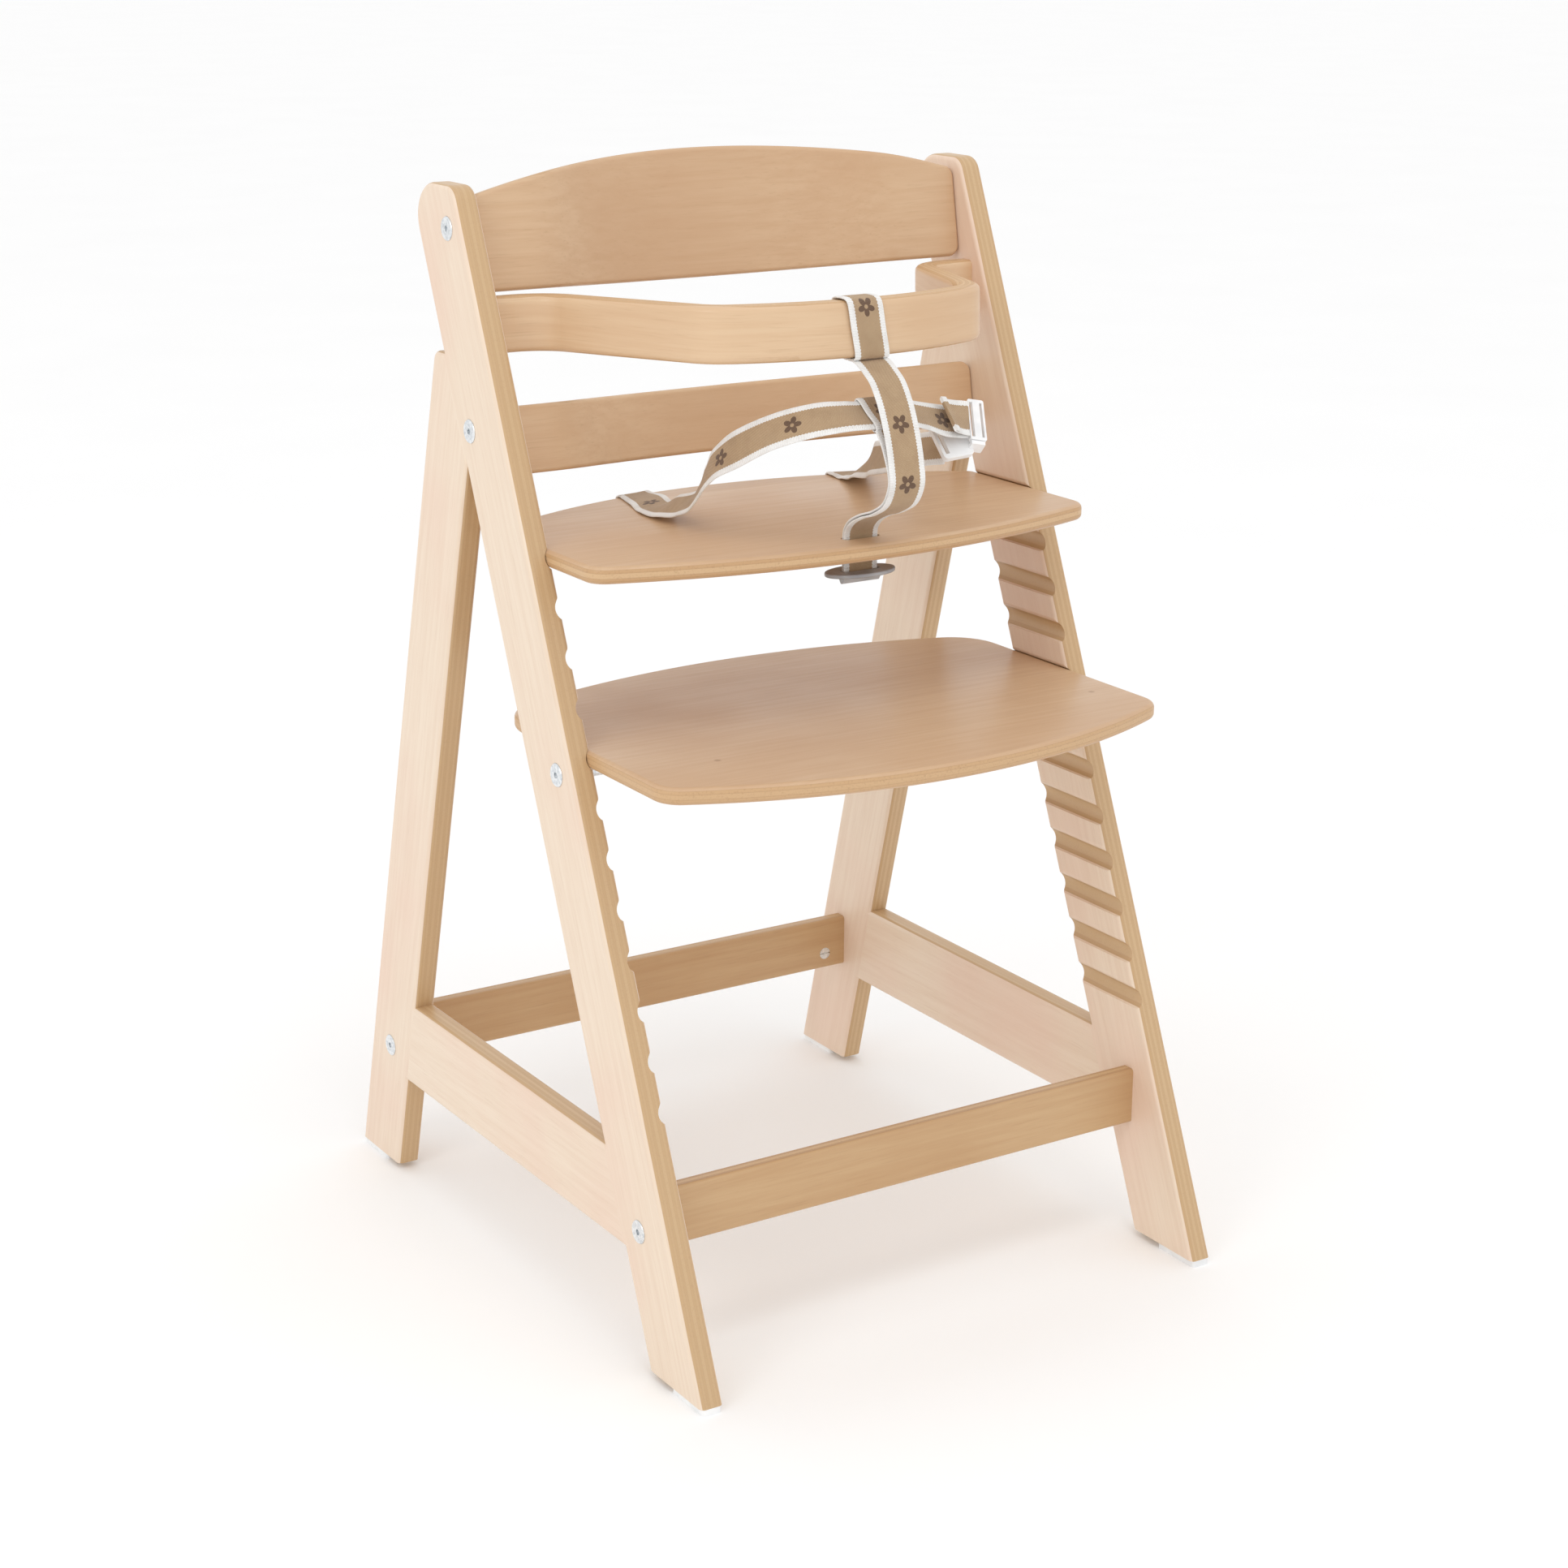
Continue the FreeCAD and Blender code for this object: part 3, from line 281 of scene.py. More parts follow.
def knots(paint, place, seed):
    """Sparse small pin knots and flecks."""
    cells = paint.node("TexVoronoi", feature="F1")
    paint.feed(cells.inputs["Vector"], paint.vector_math("ADD", place, (seed, seed, 0.3)))
    cells.inputs["Scale"].default_value = 22.0
    pick = paint.node("SeparateColor")
    paint.feed(pick.inputs[0], cells.outputs["Color"])
    chosen = paint.math("GREATER_THAN", pick.outputs[0], 0.80)
    size = paint.math("MULTIPLY", pick.outputs[1], 0.055)
    spot = paint.smooth(paint.math("SUBTRACT", cells.outputs["Distance"], size), 0.0, 0.045, 0.62, 0.0)
    return paint.math("MULTIPLY", spot, chosen)


def flat_depth(axis, middle):
    """Depth of a flat board: distance along one axis from its middle plane. The side frames share |X|."""
    def depth(paint, place):
        value = paint.split(place)[axis]
        if axis == 0:
            value = paint.math("ABSOLUTE", value)
        return paint.math("SUBTRACT", value, middle)
    return depth


def bent_depth(reference):
    """Depth of a bent backrest: its plan is one main arc that runs out into straight ends."""
    def depth(paint, place):
        turned = paint.node("Mapping", vector_type="TEXTURE")
        turned.inputs["Location"].default_value = (0, (FRONT + reference[0]) * MM, reference[1] * MM)
        turned.inputs["Rotation"].default_value = (-SLAT_LEAN, 0, 0)
        paint.feed(turned.inputs["Vector"], place)
        x, y, _ = paint.split(turned.outputs[0])
        centre = (0, (SLAT_SAG - SLAT_ARC) * MM, 0)
        reach = paint.vector_math("DISTANCE", paint.join(x, y, 0.0), centre)
        arc = paint.math("SUBTRACT", reach, SLAT_ARC * MM)
        front_face = paint.math("SMOOTH_MIN", arc, y, 0.006)
        return paint.math("SUBTRACT", front_face, BOARD / 2 * MM)
    return depth


def hoop_depth(paint, place):
    """Depth of the bent safety hoop: distance from its centreline in plan."""
    turned = paint.node("Mapping", vector_type="TEXTURE")
    turned.inputs["Location"].default_value = (0, (FRONT + HOOP_BACK) * MM, HOOP_TOP * MM)
    turned.inputs["Rotation"].default_value = (-HOOP_RISE, 0, 0)
    paint.feed(turned.inputs["Vector"], place)
    x, y, _ = paint.split(turned.outputs[0])
    flat = paint.join(paint.math("ABSOLUTE", x), y, 0.0)
    arc_middle = (0, (HOOP_FRONT + HOOP_FRONT_ARC - HOOP_BACK) * MM, 0)
    nose = paint.math("SUBTRACT", paint.vector_math("DISTANCE", flat, arc_middle), HOOP_FRONT_ARC * MM)
    outwards = (math.cos(HOOP_TAPER), -math.sin(HOOP_TAPER), 0)
    sideways = paint.vector_math("DOT_PRODUCT", flat, outwards)
    arm = paint.math("SUBTRACT", sideways, HOOP_BEND_X * math.cos(HOOP_TAPER))
    convex = paint.math("SMOOTH_MAX", nose, arm, HOOP_EASE)
    tab = paint.math("MULTIPLY", y, -1.0)
    return paint.math("SMOOTH_MIN", convex, tab, HOOP_EASE)


# Shades of the woods, in the order that wood() takes them.
PALE = ("EAD7C1", "DFC6AD", "B9926F", "CFB188", "BD986C")
WARM = ("D2B18D", "C59E79", "9C754F", "D6B48A", "B98E61")
# Darker copy of the warm wood for the front-facing rails: painted shade.
WARM_PAINTED_SHADE = ("C9A67B", "BA9165", "98704A", "C9A67A", "AD8358")
# Lighter copy of the warm wood: painted highlight on the safety hoop, also used on the lower backrest.
WARM_PAINTED_HIGHLIGHT = ("DCBD99", "CFA983", "A57E57", "DABA92", "C09669")
BLUSH = colour("E6C5B2")


def make_woods():
    """One plywood material for each wooden board, by node name."""
    side = flat_depth(0, SIDE_MIDDLE)
    made = {}
    for i, (node, way) in enumerate((
        ("left_upright", (0, UPRIGHT_LEAN, 1)), ("right_upright", (0, UPRIGHT_LEAN, 1)),
        ("left_rear_leg", (0, -LEG_LEAN, 1)), ("right_rear_leg", (0, -LEG_LEAN, 1)),
        ("left_side_rail", (0, 1, 0)), ("right_side_rail", (0, 1, 0)),
    )):
        made[node] = wood("ply_" + node, side, way, PALE, 1.0 + i, tint=BLUSH)
    for i, (node, depth, shades) in enumerate((
        ("seat_board", flat_depth(2, SEAT_MIDDLE), WARM),
        ("footrest_board", flat_depth(2, FOOTREST_MIDDLE), WARM),
        ("upper_backrest", bent_depth(UPPER_PLACE), WARM),
        # The lower backrest takes the lighter copy of the warm wood, which is painted highlight.
        ("lower_backrest", bent_depth(LOWER_PLACE), WARM_PAINTED_HIGHLIGHT),
        # The rails take the darker copy of the warm wood, which is painted shade.
        ("front_rail", flat_depth(1, FRONT_RAIL_MIDDLE), WARM_PAINTED_SHADE),
        ("rear_rail", flat_depth(1, REAR_RAIL_MIDDLE), WARM_PAINTED_SHADE),
    )):
        made[node] = wood("ply_" + node, depth, (1, 0, 0), shades, 11.0 + i, ply=2.3, half=6.0)
    # The hoop takes the lighter copy of the warm wood, which is painted highlight.
    made["safety_hoop"] = wood("ply_safety_hoop", hoop_depth, None, WARM_PAINTED_HIGHLIGHT, 21.0, ply=1.9, half=HOOP_HALF_THICK)
    return made


def dowel_wood():
    paint = Paint("beech_dowel")
    place = paint.place()
    stretched = paint.vector_math("MULTIPLY", place, (0.05, 1.0, 1.0))
    streak = paint.noise(stretched, 500.0, 3.0, 0.6)
    body = paint.mix(paint.smooth(streak, 0.35, 0.7), colour("E3C49C"), colour("C39A6B"))
    paint.bump(streak, 0.00015, 0.6)
    return paint.finish(Base_Color=body, Roughness=0.55)


# ---- metal and plastic ---------------------------------------------------------------------------
def zinc():
    paint = Paint("zinc_steel")
    place = paint.place()
    spangle = paint.noise(place, 420.0, 4.0, 0.6)
    scratch = paint.noise(paint.vector_math("MULTIPLY", place, (1.0, 0.08, 1.0)), 2600.0, 2.0, 0.6)
    tone = paint.mix(paint.smooth(spangle, 0.35, 0.7), colour("EEF0F1"), colour("CDD2D6"))
    rough = paint.smooth(scratch, 0.3, 0.75, 0.24, 0.42)
    paint.bump(scratch, 0.00003, 0.5)
    return paint.finish(Base_Color=tone, Metallic=1.0, Roughness=rough)


def plastic(name, light, dark, rough):
    paint = Paint(name)
    place = paint.place()
    grit = paint.noise(place, 2200.0, 3.0, 0.6)
    flow = paint.noise(place, 60.0, 2.0, 0.5)
    tone = paint.mix(paint.smooth(flow, 0.35, 0.7), colour(light), colour(dark))
    paint.bump(grit, 0.00004, 0.6)
    rough = paint.smooth(grit, 0.3, 0.7, rough - 0.06, rough + 0.08)
    return paint.finish(Base_Color=tone, Roughness=rough, Coat_Weight=0.08, Coat_Roughness=0.3)


# ---- webbing -------------------------------------------------------------------------------------
def webbing_cloth():
    """Beige twill with white ribbed edges and a small woven blossom. The mesh carries
    web = (length along, place across, side) in mm and motif = (along, across, share)."""
    paint = Paint("webbing")
    web = paint.node("Attribute", attribute_name="web").outputs["Vector"]
    s, t, _ = paint.split(web)
    across = paint.math("ABSOLUTE", t)
    zigzag = paint.math("PINGPONG", s, TOOTH)
    border = paint.math("ADD", WEB / 2 - SELVEDGE - 0.35, paint.math("MULTIPLY", zigzag, TOOTH_DEEP))
    white = paint.smooth(paint.math("SUBTRACT", across, border), -0.12, 0.12)

    slanted = paint.math("ADD", s, paint.math("MULTIPLY", t, TWILL_SLOPE))
    twill, yarn, rib = [
        paint.math("SINE", paint.math("MULTIPLY", way, 2 * math.pi / spacing))
        for way, spacing in ((slanted, TWILL), (t, YARN), (s, RIB))
    ]
    fuzz = paint.noise(web, 1.3, 3.0, 0.6)
    worn = paint.noise(web, 0.08, 2.0, 0.5)

    beige = paint.mix(paint.smooth(twill, -0.8, 0.8, 0.0, 0.7), colour("C8AA86"), colour("967552"))
    beige = paint.mix(paint.smooth(yarn, -0.5, 1.0, 0.0, 0.22), beige, colour("8A7052"))
    beige = paint.mix(paint.smooth(fuzz, 0.4, 0.75, 0.0, 0.25), beige, colour("D4BC9A"))
    edge = paint.mix(paint.smooth(rib, -0.6, 0.9, 0.0, 0.5), colour("FAF9F7"), colour("DAD7D2"))
    cloth = paint.mix(white, beige, edge)

    drawn = paint.math("MULTIPLY", blossom(paint), paint.smooth(twill, -0.9, 0.2, 0.72, 1.0))
    cloth = paint.mix(drawn, cloth, colour("583A26"))
    cloth = paint.mix(paint.smooth(worn, 0.4, 0.7, 0.0, 0.12), cloth, colour("A28A6C"), "MULTIPLY")

    body_weave = paint.math("ADD", twill, paint.math("MULTIPLY", yarn, 0.5))
    weave = paint.node("Mix", data_type="FLOAT")
    paint.feed(weave.inputs[0], white)
    paint.feed(weave.inputs[2], body_weave)
    paint.feed(weave.inputs[3], paint.math("MULTIPLY", rib, 1.4))
    height = paint.math("ADD", weave.outputs[0], paint.math("MULTIPLY", drawn, 0.8))
    paint.bump(height, 0.00012, 0.8)
    return paint.finish(Base_Color=cloth, Roughness=0.86, Sheen_Weight=0.25, Sheen_Roughness=0.5)


def blossom(paint):
    """Share of the woven five-petal blossom, with a hole in its middle."""
    u, v, near = paint.split(paint.node("Attribute", attribute_name="motif").outputs["Vector"])
    reach = paint.vector_math("LENGTH", paint.join(u, v, 0.0))
    angle = paint.math("ARCTAN2", v, u)
    petals = paint.math("ABSOLUTE", paint.math("COSINE", paint.math("MULTIPLY", angle, PETALS / 2)))
    outline = paint.math("ADD", PETAL_BASE, paint.math("MULTIPLY", petals, PETAL_REACH))
    bloom = paint.smooth(paint.math("SUBTRACT", reach, outline), -0.25, 0.25, 1.0, 0.0)
    heart = paint.smooth(reach, 1.3, 1.6, 1.0, 0.0)
    return paint.math("MULTIPLY", paint.math("SUBTRACT", bloom, heart), paint.smooth(near, 0.4, 0.6))


def spline_span(p, count):
    """Points and shares from p[1] to p[2] of a centripetal Catmull-Rom span, without its end."""
    knots_at = [0.0]
    for a, b in zip(p[:-1], p[1:]):
        knots_at.append(knots_at[-1] + math.sqrt(np.linalg.norm(b - a)))
    t0, t1, t2, t3 = knots_at
    for t in np.linspace(t1, t2, count, endpoint=False):
        a1 = (t1 - t) / (t1 - t0) * p[0] + (t - t0) / (t1 - t0) * p[1]
        a2 = (t2 - t) / (t2 - t1) * p[1] + (t - t1) / (t2 - t1) * p[2]
        a3 = (t3 - t) / (t3 - t2) * p[2] + (t - t2) / (t3 - t2) * p[3]
        b1 = (t2 - t) / (t2 - t0) * a1 + (t - t0) / (t2 - t0) * a2
        b2 = (t3 - t) / (t3 - t1) * a2 + (t - t1) / (t3 - t1) * a3
        yield (t2 - t) / (t2 - t1) * b1 + (t - t1) / (t2 - t1) * b2, (t - t1) / (t2 - t1)


def resampled(points, ways, step):
    """A smooth line through the stations, in mm, as evenly spaced places, directions and lengths."""
    p = np.array(points, float)
    w = np.array(ways, float)
    p = np.vstack([2 * p[0] - p[1], p, 2 * p[-1] - p[-2]])
    w = np.vstack([w[0], w, w[-1]])
    dense, turned = [], []
    for i in range(1, len(p) - 2):
        count = max(int(np.linalg.norm(p[i + 1] - p[i]) / step * 2), 2)
        for spot, share in spline_span(p[i - 1:i + 3], count):
            share = share * share * (3 - 2 * share)
            dense.append(spot)
            turned.append((1 - share) * w[i] + share * w[i + 1])
    dense, turned = np.array(dense + [p[-2]]), np.array(turned + [w[-2]])
    run = np.r_[0, np.cumsum(np.linalg.norm(np.diff(dense, axis=0), axis=1))]
    even = np.linspace(0, run[-1], max(int(run[-1] / step), 2) + 1)
    places, directions = [
        np.stack([np.interp(even, run, values[:, k]) for k in range(3)], 1) for values in (dense, turned)
    ]
    return places, directions, even


def square_share(along, skew, slant):
    """How far each ring keeps its stated direction across: 0 is square to the run, 1 is as stated."""
    if slant == 0:
        return np.full(len(along), float(skew))
    from_end = along if slant < 0 else along[-1] - along
    return np.clip(1 - from_end / abs(slant), 0, 1)


# Half of the webbing's cross-section: distance from the middle and half thickness, mm.
RIM = [(14.0, 0.18), (13.75, 0.52), (13.1, 0.74), (12.0, 0.8), (10.6, 0.78), (9.9, 0.66), (7.0, 0.64),
       (3.5, 0.64)]
PROFILE = [(-t, h) for t, h in RIM] + [(0.0, 0.64)] + RIM[::-1]


class Strip:
    """Collects webbing runs as one mesh, with their cloth coordinates."""

    def __init__(self, name):
        self.name = name
        self.points, self.faces, self.web, self.motif = [], [], [], []

    def run(self, stations, motifs=(), face=1, phase=0.0, closed=False, step=1.5, skew=False, slant=0):
        """stations are (x, y behind the front foot, z) with a direction across, in mm. motifs are
        lengths along the run. A skewed run keeps the directions across as they are, instead of
        square to the run. A slant does so only over its length at the end, or at the start if negative.
        """
        points, ways, along = resampled([(x, FRONT + y, z) for (x, y, z), _ in stations],
                                        [way for _, way in stations], step)
        if closed:
            points, ways, along = points[:-1], ways[:-1], along[:-1]
            tangents = np.roll(points, -1, 0) - np.roll(points, 1, 0)
        else:
            tangents = np.gradient(points, axis=0)
        tangents /= np.linalg.norm(tangents, axis=1)[:, None]
        squared = ways - tangents * np.sum(ways * tangents, axis=1)[:, None]
        sides = squared + (ways - squared) * square_share(along, skew, slant)[:, None]
        sides /= np.linalg.norm(sides, axis=1)[:, None]
        ups = np.cross(sides, tangents)
        ups /= np.linalg.norm(ups, axis=1)[:, None]
        ring = PROFILE + [(t, -h) for t, h in reversed(PROFILE)]
        first, count, n = len(self.points), len(points), len(ring)
        for i in range(count):
            for t, h in ring:
                self.points.append(points[i] + sides[i] * t + ups[i] * h)
            self.mark(ring, along[i], phase, motifs, face)
        for i in range(count if closed else count - 1):
            a, b = first + i * n, first + (i + 1) % count * n
            for k in range(n):
                m = (k + 1) % n
                self.faces.append((a + k, b + k, b + m, a + m))
        if not closed:
            self.cap(first, n, True)
            self.cap(first + (count - 1) * n, n, False)

    def mark(self, ring, at, phase, motifs, face):
        """Cloth coordinates of one ring, and its place relative to the nearest motif on the given face."""
        near = min(motifs, key=lambda m: abs(m - at)) if motifs else None
        for t, h in ring:
            self.web.append((at + phase * 10, t, 1.0 if h > 0 else -1.0))
            if near is None:
                self.motif.append((NO_MOTIF, t, 0.0))
            else:
                shown = h * face > 0 and abs(near - at) < MOTIF_REACH
                self.motif.append((at - near, t, float(shown)))

    def cap(self, first, n, start):
        """Closes an end with quads between the upper and the lower half of the ring."""
        half = n // 2
        for k in range(half - 1):
            quad = (first + k, first + k + 1, first + n - 2 - k, first + n - 1 - k)
            self.faces.append(quad if start else quad[::-1])

    def build(self, material):
        mesh = bpy.data.meshes.new(self.name)
        mesh.from_pydata([tuple(np.array(p) * MM) for p in self.points], [], self.faces)
        for label, values in (("web", self.web), ("motif", self.motif)):
            attribute = mesh.attributes.new(label, "FLOAT_VECTOR", "POINT")
            attribute.data.foreach_set("vector", np.array(values, np.float32).ravel())
        mesh.materials.append(material)
        mesh.update()
        tidy_normals(mesh)
        made = bpy.data.objects.new(self.name, mesh)
        bpy.context.scene.collection.objects.link(made)
        return made


def tidy_normals(mesh):
    work = bmesh.new()
    work.from_mesh(mesh)
    bmesh.ops.recalc_face_normals(work, faces=work.faces)
    work.to_mesh(mesh)
    work.free()
    mesh.polygons.foreach_set("use_smooth", [True] * len(mesh.polygons))
    mesh.set_sharp_from_angle(angle=math.radians(50))


def piece(obj, body, slot, *nodes):
    """Attaches a visual piece to its body and hides the CAD nodes it replaces. The slot is not used."""
    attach(obj, body)
    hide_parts(*nodes)


# ---- the harness ---------------------------------------------------------------------------------
# Stations in mm: Y behind the front foot and height, or X, Y, Z with a direction across.
CROTCH_RUN = [
    (147, 675.6), (140, 675.2), (133, 672.3), (127, 668.5), (120, 663.5), (110.7, 651), (104.2, 637.7),
    (99.2, 624.4), (95.7, 610.8), (94.1, 597), (101, 583), (116, 574), (132.4, 568.4), (144, 562.3),
    (149.2, 556), (150.0, 549), (150.0, 535), (150.0, 524.8),
]
BACK_RUN = [
    (112.9, 632.0), (106.2, 622.8), (100.9, 613.5), (97.0, 604.5), (96.4, 597.2), (102.6, 584.6),
    (116.9, 576.0), (133.2, 570.4), (145.3, 564.1), (151.2, 556.9), (152.2, 549), (152.2, 535),
    (152.2, 524.8),
]


def over_edge(x, run, across):
    """Stations round the seat board's rear edge, bottom first."""
    chord = SEAT_APEX - SEAT_SIDE_END
    radius = (SEAT_HALF ** 2 + chord ** 2) / (2 * chord)
    edge = SEAT_APEX - radius + math.sqrt(radius ** 2 - x ** 2)
    low, high, gap, rim = SEAT_LOW, SEAT_HIGH, WEB_GAP, SEAT_ROUND
    corner = (gap + rim) * math.sqrt(0.5) - rim
    spots = [
        (-9.0, low - gap), (-rim, low - gap), (corner, low - corner), (gap, low + rim),
        (gap, high - rim), (corner, high + corner), (-rim, high + gap), (-9.0, high + gap),
    ]
    return [((x + run * y, edge + y, z), across) for y, z in spots]


def hanging_share(z):
    """0 at the seat, 1 in the free stretch above it, where the strap is slightly twisted."""
    return min(max((z - TWIST_LOW) / 30, 0), 1)


def hoop_loop():
    """Stations of the strap's loop round the front bar: y and z square to the hoop, then tilted with it."""
    low, high = HOOP_TOP - HOOP_TALL - WEB_GAP, HOOP_TOP + WEB_GAP
    front, rear = HOOP_FRONT - HOOP_HALF_THICK - 1.3, HOOP_FRONT + HOOP_HALF_THICK + 2.1
    soft, cut = 4.0, 1.2        # where a corner starts to round, and how far its middle is cut
    middle = (low + high) / 2
    corners = [
        (front + soft, low), (rear - soft, low), (rear - cut, low + cut), (rear, low + soft),
        (rear, middle), (rear, high - soft), (rear - cut, high - cut), (rear - soft, high),
        (front + soft, high), (front + cut, high - cut), (front, high - soft), (front, middle),
        (front, low + soft), (front + cut, low + cut), (front + soft, low),
    ]
    stations = []
    for y, z in corners:
        dy, dz = y - HOOP_BACK, z - HOOP_TOP
        x = LOOP_MID - LOOP_LEAN * (dz + HOOP_TALL / 2)
        y = HOOP_BACK + dy * math.cos(HOOP_RISE) + dz * math.sin(HOOP_RISE)
        z = HOOP_TOP + dz * math.cos(HOOP_RISE) - dy * math.sin(HOOP_RISE)
        stations.append(((x, y, z), (-1, 0, 0)))
    return stations


def make_crotch_strap(cloth):
    """Front layer and the loop round the hoop."""
    strip = Strip("crotch_strap_web")
    hanging = [((-0.5, y, z), (1, -TWIST * hanging_share(z), 0)) for y, z in CROTCH_RUN]
    strip.run(hanging, motifs=(61.5, 102.5), face=-1)
    strip.run(hoop_loop(), motifs=(79.0,), phase=0.4, closed=True, step=1.2, skew=True)
    made = strip.build(cloth)
    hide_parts("crotch_strap")
    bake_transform(made)


def make_strap_loop(cloth):
    """Back layer with the tunnel for the waist strap."""
    strip = Strip("strap_loop_web")
    layer = []
    for y, z in BACK_RUN:
        share = min(hanging_share(z), max((LAYERS_PART - z) / 15, 0))
        layer.append(((-0.2, y, z), (1, -TWIST * share, 0)))
    strip.run(layer)
    half, thick, soft = TUNNEL_HALF, TUNNEL_THICK, TUNNEL_HALF - TUNNEL_SOFT
    flat = [(-soft, -thick), (0, -thick), (soft, -thick), (half, 0), (soft, thick), (0, thick),
            (-soft, thick), (-half, 0), (-soft, -thick)]
    ring = []
    for a, b in flat:
        y = WAIST_MID[0] + a * math.cos(WAIST_TILT) - b * math.sin(WAIST_TILT)
        z = WAIST_MID[1] + a * math.sin(WAIST_TILT) + b * math.cos(WAIST_TILT)
        ring.append(((0, y, z), (1, 0, 0)))
    strip.run(ring, motifs=(47.0,), face=-1, phase=0.9, closed=True, step=1.2)
    piece(strip.build(cloth), "seat", "webbing", "strap_loop")


LONG_RUN = [
    ((-71.7, 322.6, 553.7), (0.95, -0.27, 0.15)), ((-79.5, 297.7, 554.2), (0.96, -0.2, 0.19)),
    ((-83.0, 273.5, 559.6), (0.88, 0.07, 0.47)), ((-82.0, 250.1, 565.1), (0.82, 0.2, 0.54)),
    ((-83.2, 234.3, 574.3), (0.65, 0.4, 0.65)), ((-85.8, 219.9, 587.6), (0.55, 0.53, 0.64)),
    ((-86.6, 204.7, 601.4), (0.43, 0.59, 0.69)), ((-79.9, 183.2, 615.4), (0.21, 0.58, 0.79)),
    ((-66.0, 158.5, 629.7), (0.28, 0.62, 0.73)), ((-46.2, 138.7, 638.4), (0.27, 0.68, 0.68)),
    ((-27.0, 128.2, 641.0), (0.12, 0.8, 0.56)), ((-16, 126.2, 640.8), (0, 0.839, 0.545)),
    ((0, *WAIST_MID), (0, 0.839, 0.545)), ((16, 126.2, 640.1), (0.03, 0.839, 0.545)),
    ((34, 129.5, 635.9), (0.3, 0.8, 0.5)), ((55, 131, 629.9), (0.33, 0.71, 0.63)),
    ((75.4, 132, 627.6), (0.36, 0.62, 0.7)),
]
SHORT_RUN = [
    ((110, 322, 556), (0.93, -0.2, 0.3)), ((99, 296, 566), (0.8, -0.1, 0.6)),
    ((76.4, 250, 581.2), (0.5, 0.85, 0.17)), ((65.6, 215, 589.8), (0.53, 0.73, 0.43)),
    ((57.4, 159, 604.8), (0.42, 0.71, 0.56)), ((63.0, 136.7, 610.4), (0.36, 0.65, 0.67)),
]
TAIL_RUN = [
    ((76.2, 131.4, 629.9), (0.36, 0.62, 0.7)), ((70, 130.0, 630.7), (0.3, 0.65, 0.7)),
    ((61, 128.0, 633.0), (0.15, 0.68, 0.71)), ((54.7, 125.8, 635.0), (0.03, 0.7, 0.72)),
]
TAIL_HEM = [((59.0, 126.2, 635.0), (0.12, 0.68, 0.71)), ((54.7, 124.7, 636.1), (0.03, 0.7, 0.72))]


def make_waist_straps(cloth):
    """Both halves of the waist strap from under the seat, and the tail behind the ladder frame."""
    strip = Strip("waist_strap_long_web")
    under = [((-17, 176, UNDER), (0.97, 0.25, 0)), ((-38, 262, UNDER), (0.98, 0.2, 0))]
    round_edge = over_edge(-65, 0, (0.986, 0.166, 0))
    strip.run(under + round_edge + LONG_RUN, motifs=(252.0, 384.0, 446.5, 567.0), face=-1, slant=20)
    piece(strip.build(cloth), "seat", "webbing", "waist_strap_long")

    strip = Strip("waist_strap_short_web")
    under = [((17, 176, UNDER), (0.93, -0.35, 0)), ((62, 262, UNDER), (0.93, -0.35, 0))]
    round_edge = over_edge(115, 0.2, (0.956, -0.294, 0))
    strip.run(under + round_edge + SHORT_RUN, motifs=(250.0, 330.0))
    piece(strip.build(cloth), "seat", "webbing", "waist_strap_short")

    strip = Strip("strap_tail_web")
    strip.run(TAIL_RUN, slant=-6)
    strip.run(TAIL_HEM)
    piece(strip.build(cloth), "seat", "webbing", "strap_tail")


# ---- finishes of the CAD nodes ---------------------------------------------------------------------
def dress(node, material):
    """Gives a CAD node's own mesh one material."""
    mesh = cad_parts[node].data
    mesh.materials.clear()
    mesh.materials.append(material)


def dress_frame():
    for node, material in make_woods().items():
        dress(node, material)
    beech, steel = dowel_wood(), zinc()
    white = plastic("white_plastic", "F6F6F6", "E9EAEB", 0.38)
    grey = plastic("grey_plastic", "A6A4A4", "918F90", 0.42)
    keeper = plastic("light_grey_plastic", "B9BCC0", "A9ADB2", 0.4)
    for node in ("left_frame_dowels", "right_frame_dowels", "slat_dowels", "hoop_dowels"):
        dress(node, beech)
    for node in ("tie_rod", "upper_backrest_bolts", "lower_backrest_bolts", "tie_rod_bolts",
                 "front_rail_bolts", "rear_rail_bolts", "backrest_nuts", "rail_nuts"):
        dress(node, steel)
    for node in ("left_front_glide", "right_front_glide", "left_rear_glide", "right_rear_glide",
                 "buckle_frame", "buckle_body"):
        dress(node, white)
    dress("anchor_plate", grey)
    dress("strap_keeper", keeper)


# ---- stage ---------------------------------------------------------------------------------------
CAMERA_PLACE = (-1.14147, -1.81654, 1.00101)
CAMERA_BACK = (-0.51166, -0.80725, 0.29421)     # direction from the chair to the camera
CAMERA_ROLL = math.radians(0.249)
FLOOR_HALF = 60.0
LIGHT_AIM = (0, 0, 0.45)


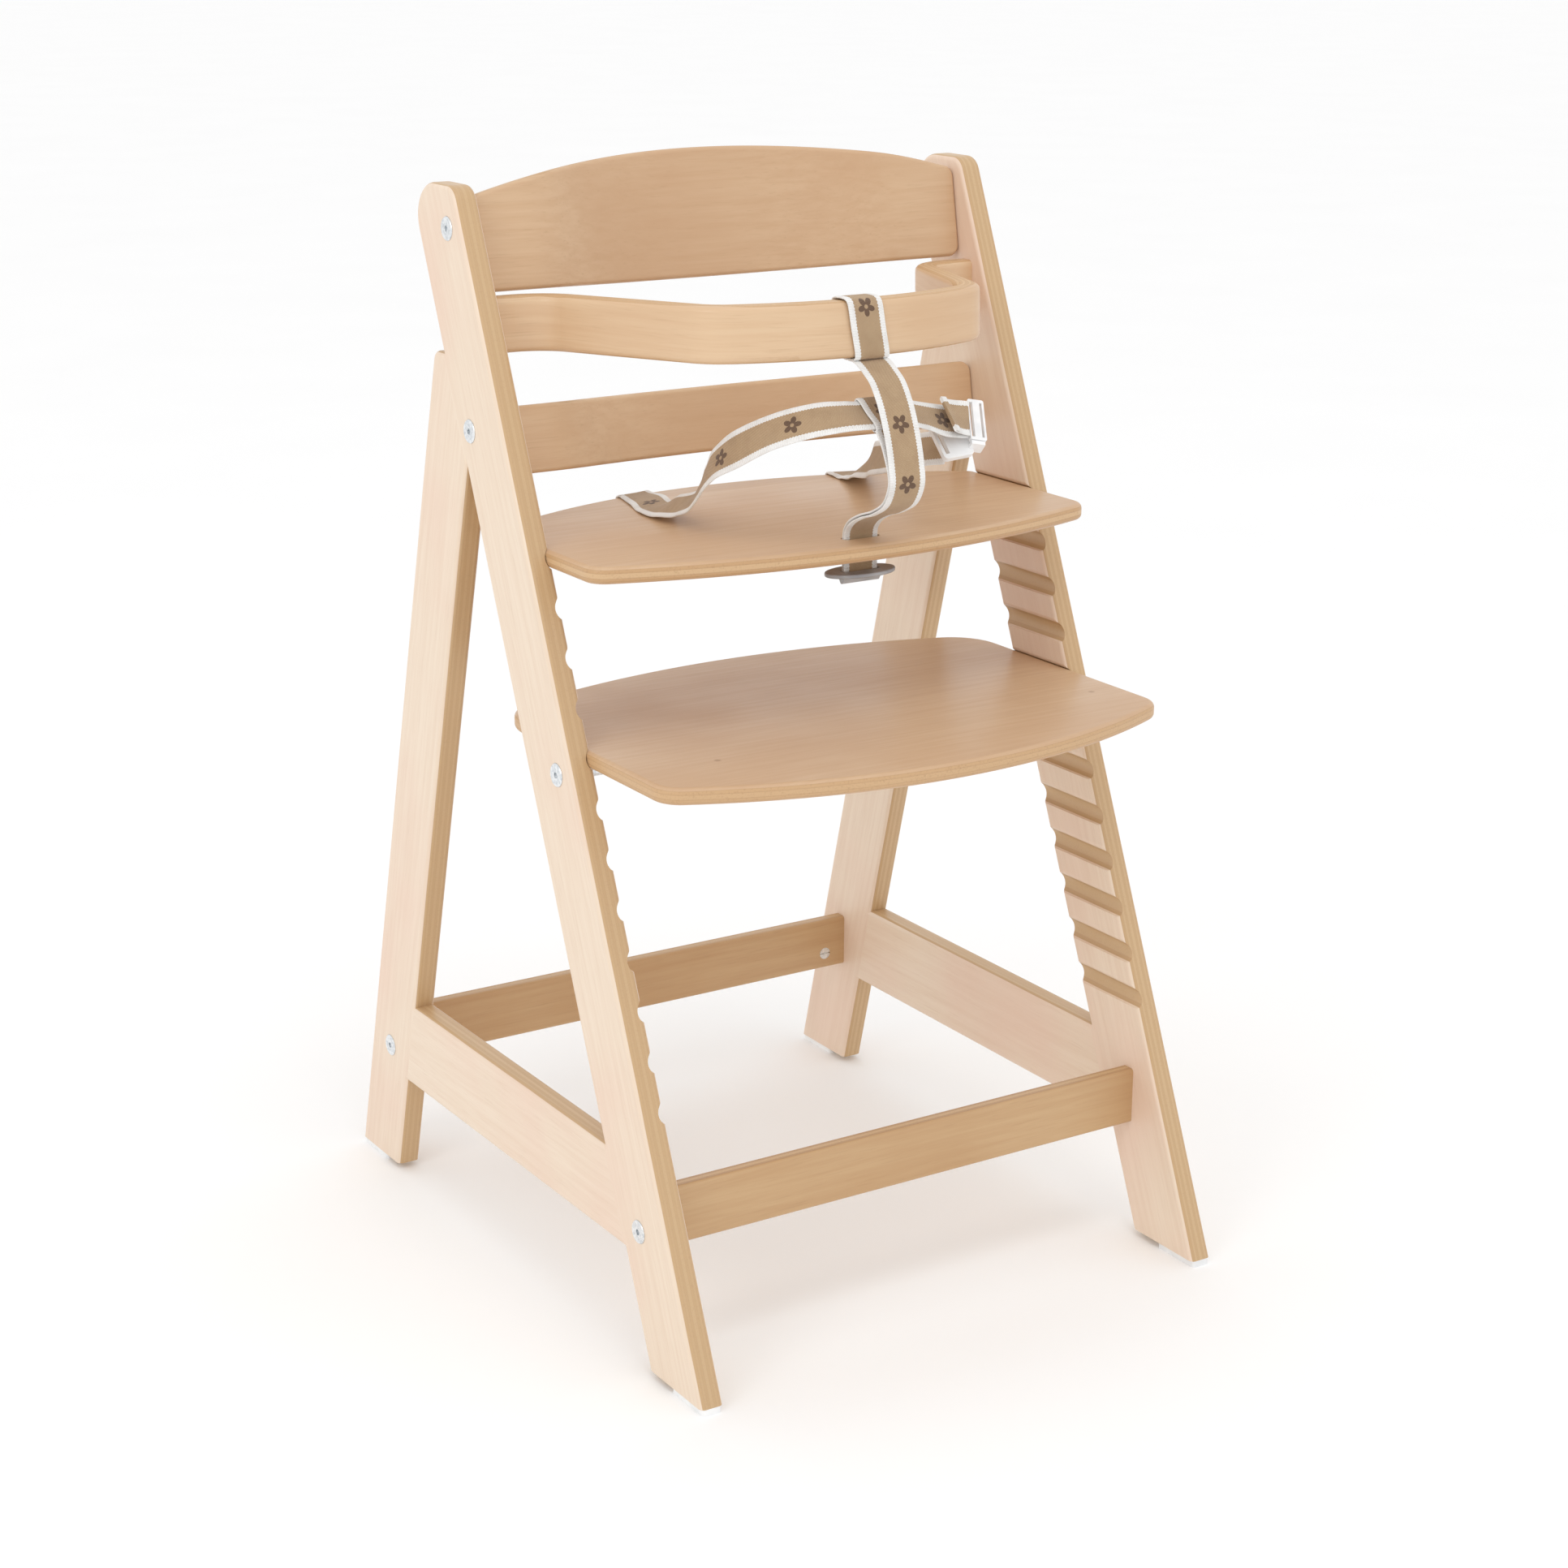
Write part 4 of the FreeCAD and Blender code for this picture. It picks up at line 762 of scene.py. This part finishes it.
def make_camera():
    data = bpy.data.cameras.new("camera")
    data.sensor_width = 36.0
    data.lens = 68.895
    data.shift_x, data.shift_y = 0.00198, -0.00082
    data.clip_start, data.clip_end = 0.05, 50.0
    camera = bpy.data.objects.new("camera", data)
    bpy.context.scene.collection.objects.link(camera)
    back = Vector(CAMERA_BACK).normalized()
    right = Vector((0, 0, 1)).cross(back).normalized()
    up = back.cross(right)
    x = right * math.cos(CAMERA_ROLL) + up * math.sin(CAMERA_ROLL)
    turn = Matrix((x, back.cross(x), back)).transposed()
    camera.matrix_world = Matrix.Translation(CAMERA_PLACE) @ turn.to_4x4()
    bpy.context.scene.camera = camera


def area_light(name, place, size, power):
    data = bpy.data.lights.new(name, "AREA")
    data.shape = "DISK"
    data.size = size
    data.energy = power
    light = bpy.data.objects.new(name, data)
    bpy.context.scene.collection.objects.link(light)
    light.location = place
    light.rotation_mode = "QUATERNION"
    light.rotation_quaternion = (Vector(LIGHT_AIM) - Vector(place)).to_track_quat("-Z", "Y")


def make_stage():
    """Plain pale floor, even white surroundings and two soft lights."""
    paint = Paint("studio_floor")
    dust = paint.noise(paint.place(), 3.0, 2.0)
    tone = paint.mix(dust, colour("FEFEFE"), colour("FBFBFB"))
    mesh = bpy.data.meshes.new("studio_floor")
    a, b = -FLOOR_HALF, FLOOR_HALF
    mesh.from_pydata([(a, a, 0), (b, a, 0), (b, b, 0), (a, b, 0)], [], [(0, 1, 2, 3)])
    mesh.materials.append(paint.finish(Base_Color=tone, Roughness=0.9))
    floor = bpy.data.objects.new("studio_floor", mesh)
    bpy.context.scene.collection.objects.link(floor)
    world = bpy.data.worlds.new("studio")
    world.use_nodes = True
    sky = world.node_tree.nodes["Background"]
    sky.inputs["Color"].default_value = (1, 1, 1, 1)
    sky.inputs["Strength"].default_value = 1.0
    bpy.context.scene.world = world
    area_light("key", (-2.7, -1.1, 2.0), 1.4, 10)
    area_light("top", (-0.3, -1.2, 3.0), 1.2, 7)
    bpy.context.scene.view_settings.view_transform = "Standard"


make_camera()
make_stage()
dress_frame()
webbing = webbing_cloth()
make_crotch_strap(webbing)
make_strap_loop(webbing)
make_waist_straps(webbing)
